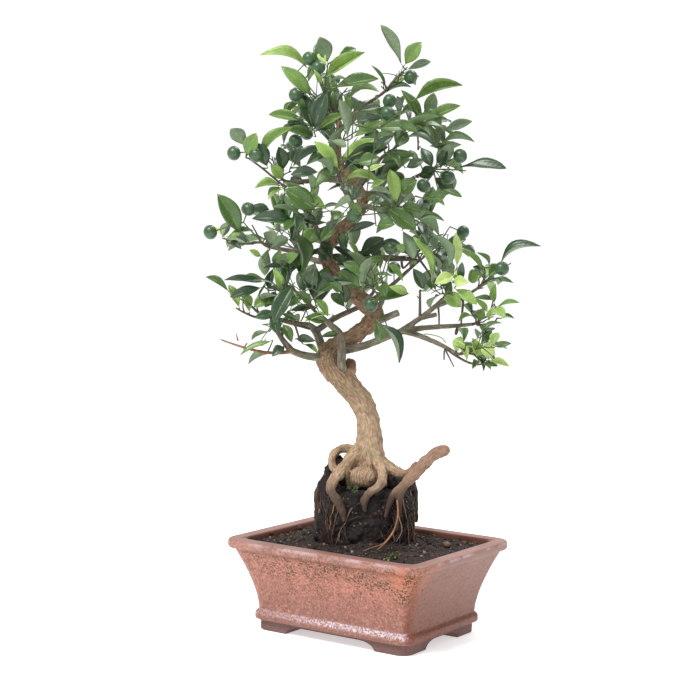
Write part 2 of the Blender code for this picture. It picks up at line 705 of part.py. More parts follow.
def grow_wood(mass, limbs, taken):
    """A mass's stem and shoots. A shoot that would touch a limb or another shoot is skipped."""
    bough, middle, _, _, _, leaf_length, _ = MASSES[mass]
    rng = random.Random(f"{SEED} {mass}")
    start, ahead = bough_end(bough)
    hub = Vector(middle)
    span = (hub - start).length
    bend = start + ahead * span * STEM_REACH / 2
    stem = arc(start, bend, start.lerp(hub, STEM_REACH), STEM_DIAMETERS, STEM_STEPS)
    shoots = []
    targets = shoot_targets(mass, rng, start)
    targets.sort(key=lambda target: (target - start).length)
    for step, target in enumerate(targets):
        root, lean = place_on(stem, FIRST_SHOOT + (1 - FIRST_SHOOT) * step / (len(targets) - 1))
        way = (target - root).normalized()
        wood = max((target - root).length - leaf_length * END_LEAF_SHARE, SHORTEST_SHOOT)
        control = root + (lean + way).normalized() * wood / 2
        control.z -= SHOOT_DROOP[0] * wood
        end = root + way * wood
        end.z -= SHOOT_DROOP[1] * wood
        rings = arc(root, control, end, SHOOT_DIAMETERS, SHOOT_STEPS)
        outer = tube_polygons(rings[1:], TWIG_SIDES, CLEAR)
        tree = BVHTree.FromPolygons(*outer)
        if not clear_of(tree, limbs, taken):
            continue
        shoots.append((rings, target))
        taken.append((mass, tree))
    taken.append((mass, BVHTree.FromPolygons(*tube_polygons(stem[1:], TWIG_SIDES, CLEAR))))
    return {"stem": stem, "shoots": shoots, "leaves": [], "fruits": [], "rng": rng}


def place_on(rings, share):
    """A point along a shoot and the shoot's direction there."""
    exact = share * (len(rings) - 1)
    index = min(int(exact), len(rings) - 2)
    start, end = Vector(rings[index][:3]), Vector(rings[index + 1][:3])
    return start.lerp(end, exact - index), (end - start).normalized()


def clear_of(tree, limbs, taken):
    """Whether a skin touches no limb and nothing that has grown."""
    return not tree.overlap(limbs) and not any(tree.overlap(other) for _, other in taken)


def grow_fruits(mass, grown, limbs, taken):
    """Fruits, each on a stalk from the nearest shoot or the stem."""
    for place in MASSES[mass][6]:
        middle = Vector(place)
        woods = [grown["stem"]] + [rings for rings, _ in grown["shoots"]]
        spots = [Vector(ring[:3]) for rings in woods for ring in rings[1:]]
        root = min(spots, key=lambda spot: (spot - middle).length)
        away = (middle - root).normalized()
        middle = root + away * max((middle - root).length, FRUIT_DIAMETER * NEAREST_FRUIT)
        tree = BVHTree.FromPolygons(*ball_points(middle, FRUIT_DIAMETER, CLEAR))
        if not clear_of(tree, limbs, taken):
            continue
        stalk = [(*spot, STALK_DIAMETER) for spot in (root, root.lerp(middle, 0.5), middle)]
        grown["fruits"].append((middle, FRUIT_DIAMETER, stalk))
        taken.append((mass, tree))


def try_leaf(mass, leaf, grown, limbs, taken):
    points = leaf_points(leaf)
    if not all(owns(mass, point) for point in points[1:4]):
        return False
    tree = BVHTree.FromPolygons(leaf_points(leaf, CLEAR, LEAF_CLEAR_FROM), LEAF_FACES)
    if not clear_of(tree, limbs, taken):
        return False
    grown["leaves"].append(leaf)
    taken.append((mass, tree))
    return True


def grow_leaves(mass, grown, limbs, taken):
    """Leaves in a spiral up each shoot, the last one at its end."""
    rng = grown["rng"]
    longest = MASSES[mass][5]
    for rings, target in grown["shoots"]:
        end, ahead = place_on(rings, 1.0)
        length = min((target - end).length, longest * END_LEAF_STRETCH)
        tip = end + (target - end).normalized() * length
        up = Vector((rng.uniform(-0.4, 0.4), rng.uniform(-0.5, 0.1), 1.0))
        try_leaf(mass, (end, tip, up, length * LEAF_WIDTH), grown, limbs, taken)
        turn = rng.uniform(0, math.tau)
        for step in range(SPRAY_LEAVES):
            spot, ahead = place_on(rings, SPRAY_SPOTS[0] - SPRAY_SPOTS[1] * step / SPRAY_LEAVES)
            turn += math.radians(TURN_DEG)
            size = longest * rng.uniform(*LEAF_SIZES)
            for attempt in range(TRIES):
                angle = turn + attempt * math.radians(RETRY_DEG)
                across = ahead.orthogonal().normalized()
                side = Matrix.Rotation(angle, 3, ahead) @ across
                splay = math.radians(rng.uniform(*LEAF_SPLAY_DEG))
                way = ahead * math.cos(splay) + side * math.sin(splay)
                way.z += rng.uniform(*LEAF_LIFT)
                way.normalize()
                length = size * (1.0 - (1.0 - SMALLEST_LEAF) * attempt / TRIES)
                up = Vector((rng.uniform(-0.35, 0.35), rng.uniform(-0.45, 0.25), 1.0)) + ahead * 0.4
                width = length * LEAF_WIDTH * rng.uniform(*LEAF_WIDTHS)
                if try_leaf(mass, (spot, spot + way * length, up, width), grown, limbs, taken):
                    break


def grow_crown():
    """Every mass's growth, the wood of all of them first."""
    skins = [tube_polygons(TRUNK, TRUNK_SIDES, CLEAR)]
    for _, rings in BOUGHS.values():
        skins.append(tube_polygons(rings, BOUGH_SIDES, CLEAR))
    limbs = skin_tree(skins)
    taken = []
    crown = {mass: grow_wood(mass, limbs, taken) for mass in MASSES}
    for step in (grow_fruits, grow_leaves):
        for mass, grown in crown.items():
            step(mass, grown, limbs, taken)
    return crown


# Building

def add_leaf(leaf, pieces, parent):
    """A leaf's solid: a six-faced ball with its poles at the leaf's ends and its middle at its sides."""
    shape = bmesh.new()
    bmesh.ops.create_uvsphere(shape, u_segments=3, v_segments=2, radius=1.0)
    poles = sorted((vert for vert in shape.verts if abs(vert.co.z) > 0.5), key=lambda vert: vert.co.z)
    middle = [vert for vert in shape.verts if abs(vert.co.z) < 0.5]
    for vert, corner in zip(poles + middle, leaf_points(leaf)):
        vert.co = mm(corner)
    add_object("leaf", mesh_from(shape, "leaf"), pieces, parent)


def add_fruit(fruit, pieces, parent, guides):
    middle, diameter, stalk = fruit
    shape = bmesh.new()
    bmesh.ops.create_uvsphere(shape, u_segments=6, v_segments=4, radius=diameter / 2 * MM)
    bmesh.ops.translate(shape, vec=mm(middle), verts=shape.verts)
    add_object("fruit", mesh_from(shape, "fruit"), pieces, parent)
    tube("stalk", stalk, TWIG_SIDES, pieces, parent, guides)


def add_mass(name, grown, home, parent, guides, finish):
    mass = tube(name, grown["stem"], TWIG_SIDES, home, parent, guides)
    pieces = collection(f"{name}_pieces", bpy.context.scene.collection)
    for rings, _ in grown["shoots"]:
        tube("shoot", rings, TWIG_SIDES, pieces, parent, guides)
    for leaf in grown["leaves"]:
        add_leaf(leaf, pieces, parent)
    for fruit in grown["fruits"]:
        add_fruit(fruit, pieces, parent, guides)
    join_all(mass, pieces, "MANIFOLD")
    mass.data.materials.clear()
    mass.data.materials.append(finish)


def add_lumps(home, parent, grow=0.0):
    for name, (middle, size) in LUMPS.items():
        shape = bmesh.new()
        bmesh.ops.create_uvsphere(shape, u_segments=8, v_segments=5, radius=0.5)
        bmesh.ops.scale(shape, vec=mm(Vector(size) + Vector((2, 2, 2)) * grow), verts=shape.verts)
        bmesh.ops.translate(shape, vec=mm(middle), verts=shape.verts)
        add_object(name, mesh_from(shape, name), home, parent)


def add_trunk(home, parent, guides, finish):
    """The trunk, with its flared foot, the bulb and the old roots that are one with it."""
    trunk = tube("trunk", TRUNK, TRUNK_SIDES, home, parent, guides)
    pieces = collection("trunk_pieces", bpy.context.scene.collection)
    for name, rings in TRUNK_ROOTS.items():
        tube(name, rings, ROOT_SIDES, pieces, parent, guides)
    add_lumps(pieces, parent)
    join_all(trunk, pieces, "EXACT")
    trunk.data.materials.clear()
    trunk.data.materials.append(finish)


def add_root(name, runs, home, cutters, parent, rooms, grooves, finish):
    """A root that is a piece of its own, cut clear of the trunk's foot and of the roots before it."""
    root = tube(name, runs[0], ROOT_SIDES, home, parent, cutters)
    if len(runs) > 1:
        pieces = collection(f"{name}_pieces", bpy.context.scene.collection)
        for rings in runs[1:]:
            tube("leg", rings, ROOT_SIDES, pieces, parent, cutters)
        join_all(root, pieces, "EXACT")
    root.data.materials.clear()
    root.data.materials.append(finish)
    apply_boolean(root, "DIFFERENCE", rooms)
    for rings in runs:
        groove = tube(f"{name}_groove", rings, ROOT_SIDES, grooves, parent, cutters, GAP)
        rooms.objects.link(groove)


def add_bough(name, home, cutters, parent, rooms, finish):
    """One tapering limb, cut clear of the wood that it grows from."""
    grown_from, rings = BOUGHS[name]
    bough = tube(name, rings, BOUGH_SIDES, home, parent, cutters)
    bough.data.materials.append(finish)
    if grown_from not in rooms:
        rooms[grown_from] = tube(
            f"{grown_from}_room", BOUGHS[grown_from][1], BOUGH_SIDES, cutters, parent, cutters, GAP)
    apply_boolean(bough, "DIFFERENCE", rooms[grown_from])


def build():
    for old in list(bpy.data.objects):
        bpy.data.objects.remove(old)
    scene = bpy.context.scene.collection
    parts = collection(NAME, scene)
    cutters = collection("cutters", scene, hidden=True)
    assembly = add_object(f"{NAME}_frame", None, parts, None)
    assembly.location = mm(POT_FROM_CENTRE)
    tree = add_object("tree_frame", None, parts, assembly)
    tree.rotation_euler.z = math.radians(TREE_TURN_DEG)

    leaf_finish = material("leaf", (0.05, 0.13, 0.03), 0.4)
    for mass, grown in grow_crown().items():
        add_mass(mass, grown, parts, tree, cutters, leaf_finish.copy())

    bark = material("bark", (0.36, 0.26, 0.17), 0.8)
    root_finish = material("root_bark", (0.3, 0.2, 0.14), 0.8)
    soil_finish = material("soil", (0.035, 0.022, 0.016), 0.95)
    add_trunk(parts, tree, cutters, bark)
    trunk_rooms = collection("trunk_rooms", cutters, hidden=True)
    grooves = collection("root_grooves", cutters, hidden=True)
    rooms = {"trunk": trunk_rooms}
    tube("trunk_room", TRUNK, TRUNK_SIDES, trunk_rooms, tree, cutters, GAP)
    add_lumps(trunk_rooms, tree, GAP)
    for name, rings in TRUNK_ROOTS.items():
        room = tube(f"{name}_room", rings, ROOT_SIDES, trunk_rooms, tree, cutters, GAP)
        grooves.objects.link(room)
    for name in BOUGHS:
        add_bough(name, parts, cutters, tree, rooms, bark.copy())
    for name, runs in ROOTS.items():
        add_root(name, runs, parts, cutters, tree, trunk_rooms, grooves, root_finish.copy())

    add_pot(parts, cutters, assembly, material("glazed_stoneware", (0.42, 0.17, 0.12), 0.35))
    bed = add_soil_bed(parts, assembly, soil_finish)
    ball = add_object("root_ball", ball_mesh("root_ball", 0.0), parts, tree, soil_finish.copy())
    sockets = collection("bed_sockets", cutters, hidden=True)
    add_object("ball_socket", ball_mesh("ball_socket", GAP), sockets, tree)
    boolean(ball, "DIFFERENCE", grooves)
    boolean(bed, "DIFFERENCE", sockets)
    for cutter in cutters.all_objects:
        cutter.display_type = "WIRE"


build()
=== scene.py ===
"""The looks of a citrus bonsai: speckled pot, soil, bared roots, bark, boughs, twigs, leaves and fruit.

The tree's own sizes are in millimetres in the tree's frame: side, depth and height from the middle
of the pot's foot, with depth growing away from the side that the tree shows.
"""

import math
import random

import bmesh
import bpy
import numpy as np
from mathutils import Matrix, Vector, noise
from mathutils.bvhtree import BVHTree
from mathutils.kdtree import KDTree


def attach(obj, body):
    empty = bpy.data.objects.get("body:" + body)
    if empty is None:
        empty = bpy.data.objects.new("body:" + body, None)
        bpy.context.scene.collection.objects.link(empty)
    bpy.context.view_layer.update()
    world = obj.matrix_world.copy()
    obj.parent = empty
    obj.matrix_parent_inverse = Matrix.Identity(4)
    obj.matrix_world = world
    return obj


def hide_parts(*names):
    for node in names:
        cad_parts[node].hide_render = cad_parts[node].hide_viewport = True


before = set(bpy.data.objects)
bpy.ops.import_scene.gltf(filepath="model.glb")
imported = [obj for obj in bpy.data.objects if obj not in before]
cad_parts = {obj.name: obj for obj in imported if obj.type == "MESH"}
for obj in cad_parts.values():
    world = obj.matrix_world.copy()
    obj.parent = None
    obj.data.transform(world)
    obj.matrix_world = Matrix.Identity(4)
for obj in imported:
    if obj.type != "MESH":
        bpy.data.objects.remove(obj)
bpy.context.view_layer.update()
bpy.ops.object.select_all(action="DESELECT")

MM = 0.001
GAP = 0.3
UP = Vector((0.0, 0.0, 1.0))

POT_FROM_CENTRE = (5.2, -4.0, 0.0)
TREE_TURN_DEG = 34.0

# The pot. Every outline of it is its rim's, moved in by an inset.
RIM_LENGTH = 210.0
RIM_WIDTH = 169.0
POT_HEIGHT = 85.0
POT_WALL = 7.0
FOOT_HEIGHT = 7.7
LIP_INNER_INSET = 13.0
FLARE_BOTTOM = 20.0
FLARE_TOP = 75.0
FLARE_BOTTOM_INSET = 22.0
FLARE_TOP_INSET = 5.0
FLARE_POWER = 1.55
FLOOR_TOP = 16.0
FOOT_INSET = 23.5
FOOT_LENGTH = 33.0
DRAIN_DIAMETER = 12.0
DRAIN_SPACING = 76.0

# The soil bed, and the block of root-bound soil that the tree stands on.
SOIL_EDGE_HEIGHT = 79.0
SOIL_HEIGHT = 84.0
SOIL_RISE_INSETS = (30.0, 44.0)
BALL_MIDDLE = (-3.0, 0.0)
BALL_SIDE = 90.0
BALL_DEPTH = 84.0
BALL_BOTTOM = 70.0
BALL_TOP = 134.0
BALL_SQUARENESS = 3.4
BALL_SIDES = 20
BALL_WOBBLE = 0.03
BALL_RINGS = ((BALL_BOTTOM, 1.0), (100.0, 1.0), (118.0, 0.98), (128.0, 0.94), (BALL_TOP, 0.84))

# The sides of the limbs' skins in the clearance tests.
TRUNK_SIDES = 10
BOUGH_SIDES = 5

# Swellings on the wood: the middle and the three sizes of each.
LUMPS = {
    "bulb": ((-7.0, -24.0, 146.0), (24.0, 18.0, 19.0)),
    "old_wound": ((-20.0, -6.0, 243.0), (12.0, 13.0, 18.0)),
    "raised_end": ((66.5, -26.2, 171.7), (10.2, 10.2, 10.2)),
}

# Limbs: side, depth, height and diameter along the middle of the wood.
TRUNK = [
    (-3, 0, BALL_TOP + GAP, 42), (-3, 0, 150, 38), (-2, 0, 163, 32), (-1, 0, 176, 25.5),
    (-2, 0, 188, 22.5), (-4, 0, 199, 21.5), (-9, -1, 211, 21.5), (-18, -3, 222, 21.5),
    (-28, -5, 233, 22), (-37, -6, 243, 23), (-40, -5, 252, 24), (-32, 0, 262, 18),
    (-17, 4, 271, 15.5), (-3, 8, 282, 16.5), (1, 9, 292, 18), (-8, 8, 301, 16.5),
    (-27, 0, 317, 14.5), (-42, -6, 337, 13.5), (-44, -6, 350, 13), (-35, -3, 363, 12.5),
    (-21, 3, 377, 12.5), (-13, 7, 390, 12), (-15, 6, 402, 11), (-27, 0, 415, 9.5),
    (-35, -3, 430, 8), (-36, -2, 447, 6.5), (-34, 0, 465, 5),
]
TRUNK_ROOTS = {
    "front_left": [
        (-8, -4, 172, 12), (-17, -14, 162, 12), (-26, -25, 151, 11), (-33, -33, 143, 10),
        (-35, -39, 136, 9), (-30, -43, 128, 8), (-25, -44, 119, 7), (-22, -44, 108, 4),
    ],
    "front_right": [
        (0, -4, 172, 12), (6, -18, 160, 10), (11, -30, 149, 9), (8, -38, 140, 8.5),
        (0, -42, 135, 8), (-5, -44, 128, 7), (-4, -44, 117, 4),
    ],
    "left_loop": [
        (-8, 4, 164, 10), (-20, 7, 167, 8.5), (-30, 5, 165, 8), (-35, -2, 159, 8),
        (-34, -9, 152, 7.5), (-28, -14, 147, 8),
    ],
    "right_arm": [
        (6, -4, 160, 11), (18, -14, 152, 9), (29, -20, 149, 8), (37, -20, 152, 7), (43, -18, 159, 6),
    ],
}
ROOTS = {
    "left_root": [[
        (-10, 6, 158, 11), (-26, 11, 150, 9), (-38, 9, 141, 8), (-46, 4, 130, 7),
        (-48, 0, 116, 6), (-48, -4, 98, 3.5),
    ]],
    "back_right_root": [[
        (4, 4, 160, 12), (18, 13, 151, 9), (31, 19, 142, 8), (40, 20, 132, 7),
        (43, 17, 118, 6), (44, 13, 98, 3.5),
    ]],
    "back_left_root": [[
        (-10, 8, 162, 12), (-22, 24, 150, 10), (-31, 35, 139, 9), (-35, 40, 126, 7), (-36, 41, 104, 4),
    ]],
    "back_root": [[
        (0, 8, 162, 12), (6, 26, 149, 10), (11, 37, 138, 8.5), (13, 42, 124, 7), (12, 42, 100, 4),
    ]],
    "raised_root": [[
        (67, -26, 172, 9.92), (58, -28, 169, 11.16), (49, -31, 161, 11.78), (39, -35, 151, 11.78),
        (31, -40, 143, 8.5), (27, -42, 133, 6.5), (26, -41, 118, 5), (24, -40, 100, 3.4),
    ], [
        (33, -39, 145, 7), (24, -41.5, 138, 6.5), (18, -41, 127, 5.5), (14, -40.5, 112, 3.4),
    ]],
}

BOUGHS = {
    "low_left_bough": ("trunk", [
        (-38, -6, 250, 9), (-50, -12, 252, 7.5), (-61, -18, 254, 7), (-73, -25, 259, 6),
        (-81, -26, 268, 5), (-87, -25, 277, 4),
    ]),
    "bare_twig": ("low_left_bough", [
        (-72, -25, 258, 4), (-85, -32, 257, 3.2), (-99, -37, 258, 2.8), (-118, -42, 263, 2.3),
        (-135, -46, 269, 1.4),
    ]),
    "left_rising_bough": ("trunk", [
        (-42, -2, 252, 10), (-47, 5, 262, 8.5), (-51, 11, 271, 7.5), (-57, 13, 278, 6.5),
        (-69, 11, 280, 5.5), (-84, 4, 284, 4.6), (-98, -2, 288, 3.8),
    ]),
    "dark_shoot": ("left_rising_bough", [
        (-52, 12, 274, 6.5), (-34, 20, 286, 5.5), (-15, 27, 295, 5), (4, 34, 306, 4.5),
        (20, 38, 319, 4), (33, 42, 331, 3.4),
    ]),
    "front_bough": ("trunk", [
        (-27, -6, 238, 9.5), (-28, -18, 248, 8.5), (-28, -22, 261, 8), (-30, -24, 274, 7.5),
        (-39, -28, 283, 6), (-48, -32, 291, 4.6),
    ]),
    "right_long_bough": ("trunk", [
        (-28, -3, 258, 9), (-12, -10, 262, 7.5), (3, -16, 268, 7), (23, -22, 277, 6.2),
        (41, -26, 281, 5.2), (59, -26, 283, 4.6), (77, -20, 284, 4), (88, -16, 285, 3.4),
    ]),
    "right_upper_bough": ("right_long_bough", [
        (22, -22, 276, 6), (33, -23, 284, 5.4), (44, -23, 292, 4.9), (55, -21, 301, 4.4),
        (62, -19, 308, 3.8),
    ]),
    "right_tip_bough": ("right_upper_bough", [
        (54, -21, 300, 4.2), (67, -18, 305, 3.8), (79, -15, 309, 3.4), (88, -12, 314, 3),
    ]),
    "right_low_bough": ("right_long_bough", [
        (27, -23, 278, 5.4), (37, -30, 276, 5.2), (47, -37, 273, 4.8), (60, -44, 268, 4.2),
        (72, -51, 262, 3.4),
    ]),
    "right_stub": ("right_upper_bough", [(42, -23, 290, 4.6), (49, -25, 292, 4.4), (56, -27, 294, 4.2)]),
    "cut_stub": ("trunk", [(3, 8, 284, 7.5), (14, 6, 289, 6.8), (23, 4, 293, 6.4)]),
    "mid_left_bough": ("trunk", [
        (-43, -6, 348, 6.5), (-56, -12, 347, 5.2), (-69, -17, 347, 4.6), (-84, -23, 349, 4),
        (-94, -27, 351, 3.4),
    ]),
    "mid_right_bough": ("trunk", [
        (-42, -5, 341, 6), (-28, 6, 339, 5.2), (-8, 13, 341, 4.6), (12, 16, 343, 4.2),
        (29, 17, 342, 3.6),
    ]),
    "up_left_bough": ("trunk", [
        (-26, 0, 414, 6.5), (-44, -6, 412, 5.2), (-61, -11, 410, 4.6), (-78, -16, 409, 3.8),
    ]),
    "up_right_bough": ("trunk", [
        (-14, 6, 398, 7), (3, 7, 402, 5.6), (21, 6, 408, 4.8), (35, 4, 416, 4),
    ]),
    "shoulder_bough": ("trunk", [
        (-34, -3, 427, 6), (-14, 3, 439, 4.8), (6, 8, 449, 4.2), (20, 11, 457, 3.6),
    ]),
    "top_right_bough": ("trunk", [
        (-35, -1, 454, 5), (-23, 2, 469, 4), (-9, 5, 481, 3.5), (2, 7, 489, 3),
    ]),
    "front_upper_bough": ("trunk", [
        (-21, 3, 377, 6), (-22, -12, 388, 4.8), (-27, -24, 399, 4.2), (-32, -34, 410, 3.6),
    ]),
    "front_right_bough": ("trunk", [
        (-14, 6, 389, 6), (-2, -7, 387, 4.8), (8, -19, 384, 4.2), (15, -28, 382, 3.6),
    ]),
    "front_mid_bough": ("trunk", [
        (-8, 8, 301, 6), (-8, -6, 303, 4.8), (-6, -18, 306, 4.2), (-2, -28, 311, 3.6),
    ]),
    "back_low_bough": ("trunk", [
        (0, 9, 292, 8), (4, 26, 295, 6.2), (8, 43, 300, 5.2), (10, 56, 307, 4),
    ]),
    "back_left_bough": ("trunk", [
        (-42, -6, 338, 7), (-52, 12, 338, 5.6), (-62, 29, 341, 4.6), (-69, 41, 346, 3.8),
    ]),
    "back_mid_bough": ("trunk", [
        (-36, -3, 362, 7), (-30, 14, 365, 5.6), (-23, 31, 370, 4.6), (-18, 44, 376, 3.8),
    ]),
    "back_upper_bough": ("trunk", [
        (-23, 2, 411, 6.5), (-29, 16, 418, 5.2), (-33, 29, 428, 4.2), (-34, 38, 437, 3.6),
    ]),
    "front_middle_bough": ("trunk", [(-42, -6, 356, 6), (-49, -18, 363, 4.6), (-55, -28, 372, 3.8)]),
    "front_shoulder_bough": ("trunk", [
        (-19, 4, 406, 6), (-8, -8, 419, 4.8), (3, -19, 431, 3.8),
    ]),
}

# Foliage masses: the bough each grows from, the middle and half sizes of its space, the ends of
# the shoots that make its outline, how many more shoots fill it, its leaves' length and its fruits.
MASSES = {
    "low_left_foliage": ("low_left_bough", (-90, -18, 288), (50, 46, 40), [
        (-128, -18, 285), (-113, -22, 262), (-52, -36, 268)], 3, 32, [(-88, -30, 268)]),
    "left_tip_foliage": ("left_rising_bough", (-122, -4, 304), (42, 46, 36), [
        (-151, -10, 325), (-135, -6, 322), (-140, 8, 300)], 2, 27, []),
    "front_left_foliage": ("front_bough", (-76, -42, 318), (54, 48, 52), [
        (-90, -50, 278), (-34, -48, 326), (-100, -50, 352), (-104, -44, 300)], 3, 40, []),
    "mid_left_foliage": ("mid_left_bough", (-112, -32, 364), (44, 54, 50), [
        (-141, -36, 400), (-150, -34, 352), (-90, -40, 386)], 3, 40,
        [(-146, -36, 363), (-113, -32, 384)]),
    "up_left_foliage": ("up_left_bough", (-98, -20, 428), (50, 56, 46), [
        (-130, -26, 459), (-106, -22, 462), (-113, -22, 398), (-80, -34, 392)], 3, 36,
        [(-127, -26, 433), (-107, -30, 432)]),
    "apex_left_foliage": ("trunk", (-58, -6, 494), (56, 52, 56), [
        (-104, -12, 525), (-86, -8, 510), (-53, -5, 539), (-14, -8, 526), (-2, 0, 502),
        (-102, -12, 470), (-88, -20, 446)], 3, 38,
        [(-62, -16, 518), (-54, -20, 510), (-74, -10, 486), (-73, -14, 445)]),
    "apex_right_foliage": ("top_right_bough", (22, 8, 512), (50, 48, 42), [
        (2, 8, 549), (38, 10, 534), (47, 6, 518), (-10, 8, 514)], 3, 36, [(25, 4, 506)]),
    "shoulder_foliage": ("shoulder_bough", (44, 10, 468), (48, 52, 42), [
        (76, 6, 500), (74, 10, 480), (86, 4, 466)], 4, 38, [(10, -4, 483)]),
    "up_right_foliage": ("up_right_bough", (64, 2, 430), (54, 54, 44), [
        (115, 0, 425), (89, 2, 451), (76, 6, 396)], 4, 38,
        [(71, -10, 434), (64, -6, 416), (42, -16, 408)]),
    "front_upper_foliage": ("front_upper_bough", (-38, -50, 442), (56, 50, 52), [
        (-54, -62, 458), (-8, -62, 454), (-68, -58, 412), (4, -56, 424)], 3, 39, []),
    "front_middle_foliage": ("front_middle_bough", (-62, -46, 402), (54, 48, 48), [
        (-88, -50, 386), (-82, -54, 420), (-30, -58, 416)], 3, 42, []),
    "front_shoulder_foliage": ("front_shoulder_bough", (26, -38, 448), (50, 46, 44), [
        (40, -56, 462), (-6, -60, 446)], 4, 40, [(8, -40, 470)]),
    "front_right_foliage": ("front_right_bough", (28, -40, 386), (52, 50, 50), [
        (14, -54, 424), (44, -60, 380), (56, -44, 348), (-10, -58, 398)], 4, 40, [(-20, -40, 380)]),
    "front_mid_foliage": ("front_mid_bough", (-2, -44, 328), (50, 46, 48), [
        (36, -44, 312), (24, -40, 254), (-4, -52, 356)], 3, 38, [(-3, -36, 302), (14, -30, 352)]),
    "mid_right_foliage": ("mid_right_bough", (48, 16, 352), (48, 52, 48), [
        (64, 10, 394), (68, 6, 380)], 4, 38, []),
    "right_foliage": ("right_upper_bough", (66, -20, 328), (40, 48, 40), [
        (73, -20, 366), (84, -26, 360), (44, -36, 346)], 4, 30, []),
    "right_tip_foliage": ("right_tip_bough", (108, -10, 332), (48, 46, 40), [
        (145, -10, 360), (96, -6, 356), (126, -8, 326)], 3, 32, [(112, -16, 334)]),
    "right_mid_foliage": ("right_long_bough", (106, -16, 296), (36, 44, 28), [
        (130, -12, 305), (121, -14, 291), (107, -14, 320)], 3, 24, [(84, -24, 290)]),
    "right_low_foliage": ("right_low_bough", (92, -60, 266), (38, 46, 28), [
        (119, -62, 252), (119, -62, 272), (113, -60, 280)], 4, 24, []),
    "back_low_foliage": ("back_low_bough", (12, 84, 314), (64, 52, 54), [], 5, 39, [(20, 96, 330)]),
    "back_right_foliage": ("dark_shoot", (66, 64, 358), (58, 54, 54), [], 5, 40, [(84, 76, 366)]),
    "back_left_foliage": ("back_left_bough", (-82, 66, 350), (60, 54, 54), [], 5, 40, [(-96, 80, 352)]),
    "back_mid_foliage": ("back_mid_bough", (-10, 80, 404), (60, 50, 52), [], 5, 40, []),
    "back_upper_foliage": ("back_upper_bough", (-28, 58, 462), (76, 52, 58), [], 6, 40, [(-66, 80, 456)]),
}

# The rule that grows a mass.
SEED = 20
TWIG_SIDES = 3
TURN_DEG = 137.5
SKIN_SLACK = 1.08
SHOOT_SPREAD_DEG = 42.0
STEM_CLEAR_DEG = 50.0
FILL_REACH = (0.88, 1.0)
FILL_OWNED = 0.8
STEM_DIAMETERS = (3.0, 2.0)
STEM_REACH = 0.5
STEM_STEPS = 3
SHOOT_DIAMETERS = (1.5, 1.1)
SHOOT_STEPS = 2
FIRST_SHOOT = 0.3
SHORTEST_SHOOT = 6.0
SHOOT_DROOP = (0.08, 0.05)
END_LEAF_SHARE = 0.9
END_LEAF_STRETCH = 1.1
SPRAY_LEAVES = 2
SPRAY_SPOTS = (0.9, 0.75)
LEAF_SIZES = (0.78, 1.05)
LEAF_WIDTHS = (0.85, 1.1)
LEAF_SPLAY_DEG = (42.0, 68.0)
LEAF_LIFT = (-0.25, 0.3)
RETRY_DEG = 51.0
LEAF_WIDTH = 0.52
LEAF_THICKNESS = 1.0
LEAF_WIDEST = 0.56
LEAF_ARCH = 0.09
LEAF_SUNK = 0.15
LEAF_CLEAR_FROM = 0.09
SMALLEST_LEAF = 0.6
FRUIT_DIAMETER = 13.0
STALK_DIAMETER = 1.6
NEAREST_FRUIT = 0.8
CLEAR = 0.4
TRIES = 7




POT = Matrix.Translation(Vector(POT_FROM_CENTRE) * MM)
TREE = POT @ Matrix.Rotation(math.radians(TREE_TURN_DEG), 4, "Z")


def placed(point):
    """A point of the tree's frame, in millimetres, as a place in the object's own frame, in metres."""
    return TREE @ (Vector(point[:3]) * MM)


# Pieces

def select_only(piece):
    bpy.ops.object.select_all(action="DESELECT")
    piece.select_set(True)
    bpy.context.view_layer.objects.active = piece


def settle(piece):
    """Puts a piece's place, turn and scale into its mesh."""
    select_only(piece)
    bpy.ops.object.transform_apply(location=True, rotation=True, scale=True)


def apply_modifiers(piece):
    select_only(piece)
    for modifier in list(piece.modifiers):
        bpy.ops.object.modifier_apply(modifier=modifier.name)


def finish_piece(piece, slot, *nodes):
    """A finished piece rides with the object and stands for the nodes named; its slot is not used."""
    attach(piece, "root")
    if nodes:
        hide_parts(*nodes)
    return piece


def even_skin(piece, voxel, smoothing=0):
    """One even skin round all of a piece, softened in as many steps as wanted."""
    remesh = piece.modifiers.new("even", "REMESH")
    remesh.mode = "VOXEL"
    remesh.voxel_size = voxel * MM
    if smoothing:
        soften = piece.modifiers.new("soften", "SMOOTH")
        soften.factor = 0.5
        soften.iterations = smoothing
    apply_modifiers(piece)


def coat(piece, finish):
    """Gives a piece one finish and smooth shading."""
    piece.data.polygons.foreach_set("use_smooth", np.ones(len(piece.data.polygons), bool))
    piece.data.materials.clear()
    piece.data.materials.append(finish)


def draw_up(steps):
    """Extrudes the outline that is edited up through steps of (low, high, two growths), and closes it."""
    for low, high, across, along in steps:
        bpy.ops.mesh.extrude_region_move(TRANSFORM_OT_translate={"value": (0.0, 0.0, (high - low) * MM)})
        bpy.ops.transform.resize(value=(across, along, 1.0), center_override=(0.0, 0.0, high * MM))
    bpy.ops.mesh.select_all(action="SELECT")
    bpy.ops.mesh.normals_make_consistent(inside=False)
    bpy.ops.object.mode_set(mode="OBJECT")


def read_vertices(mesh, what):
    """The place ("co") or the direction ("normal") of every vertex, as rows."""
    rows = np.empty(len(mesh.vertices) * 3, np.float32)
    mesh.vertices.foreach_get(what, rows)
    return rows.reshape(-1, 3)


def points_of(mesh):
    return read_vertices(mesh, "co").astype(float)


def set_points(mesh, points):
    mesh.vertices.foreach_set("co", np.asarray(points, np.float32).ravel())
    mesh.update()


def store_places(mesh, name, rows):
    """Keeps a place for every vertex under a name, for the finishes to read."""
    stored = mesh.attributes.new(name, "FLOAT_VECTOR", "POINT")
    stored.data.foreach_set("vector", np.asarray(rows, np.float32).ravel())


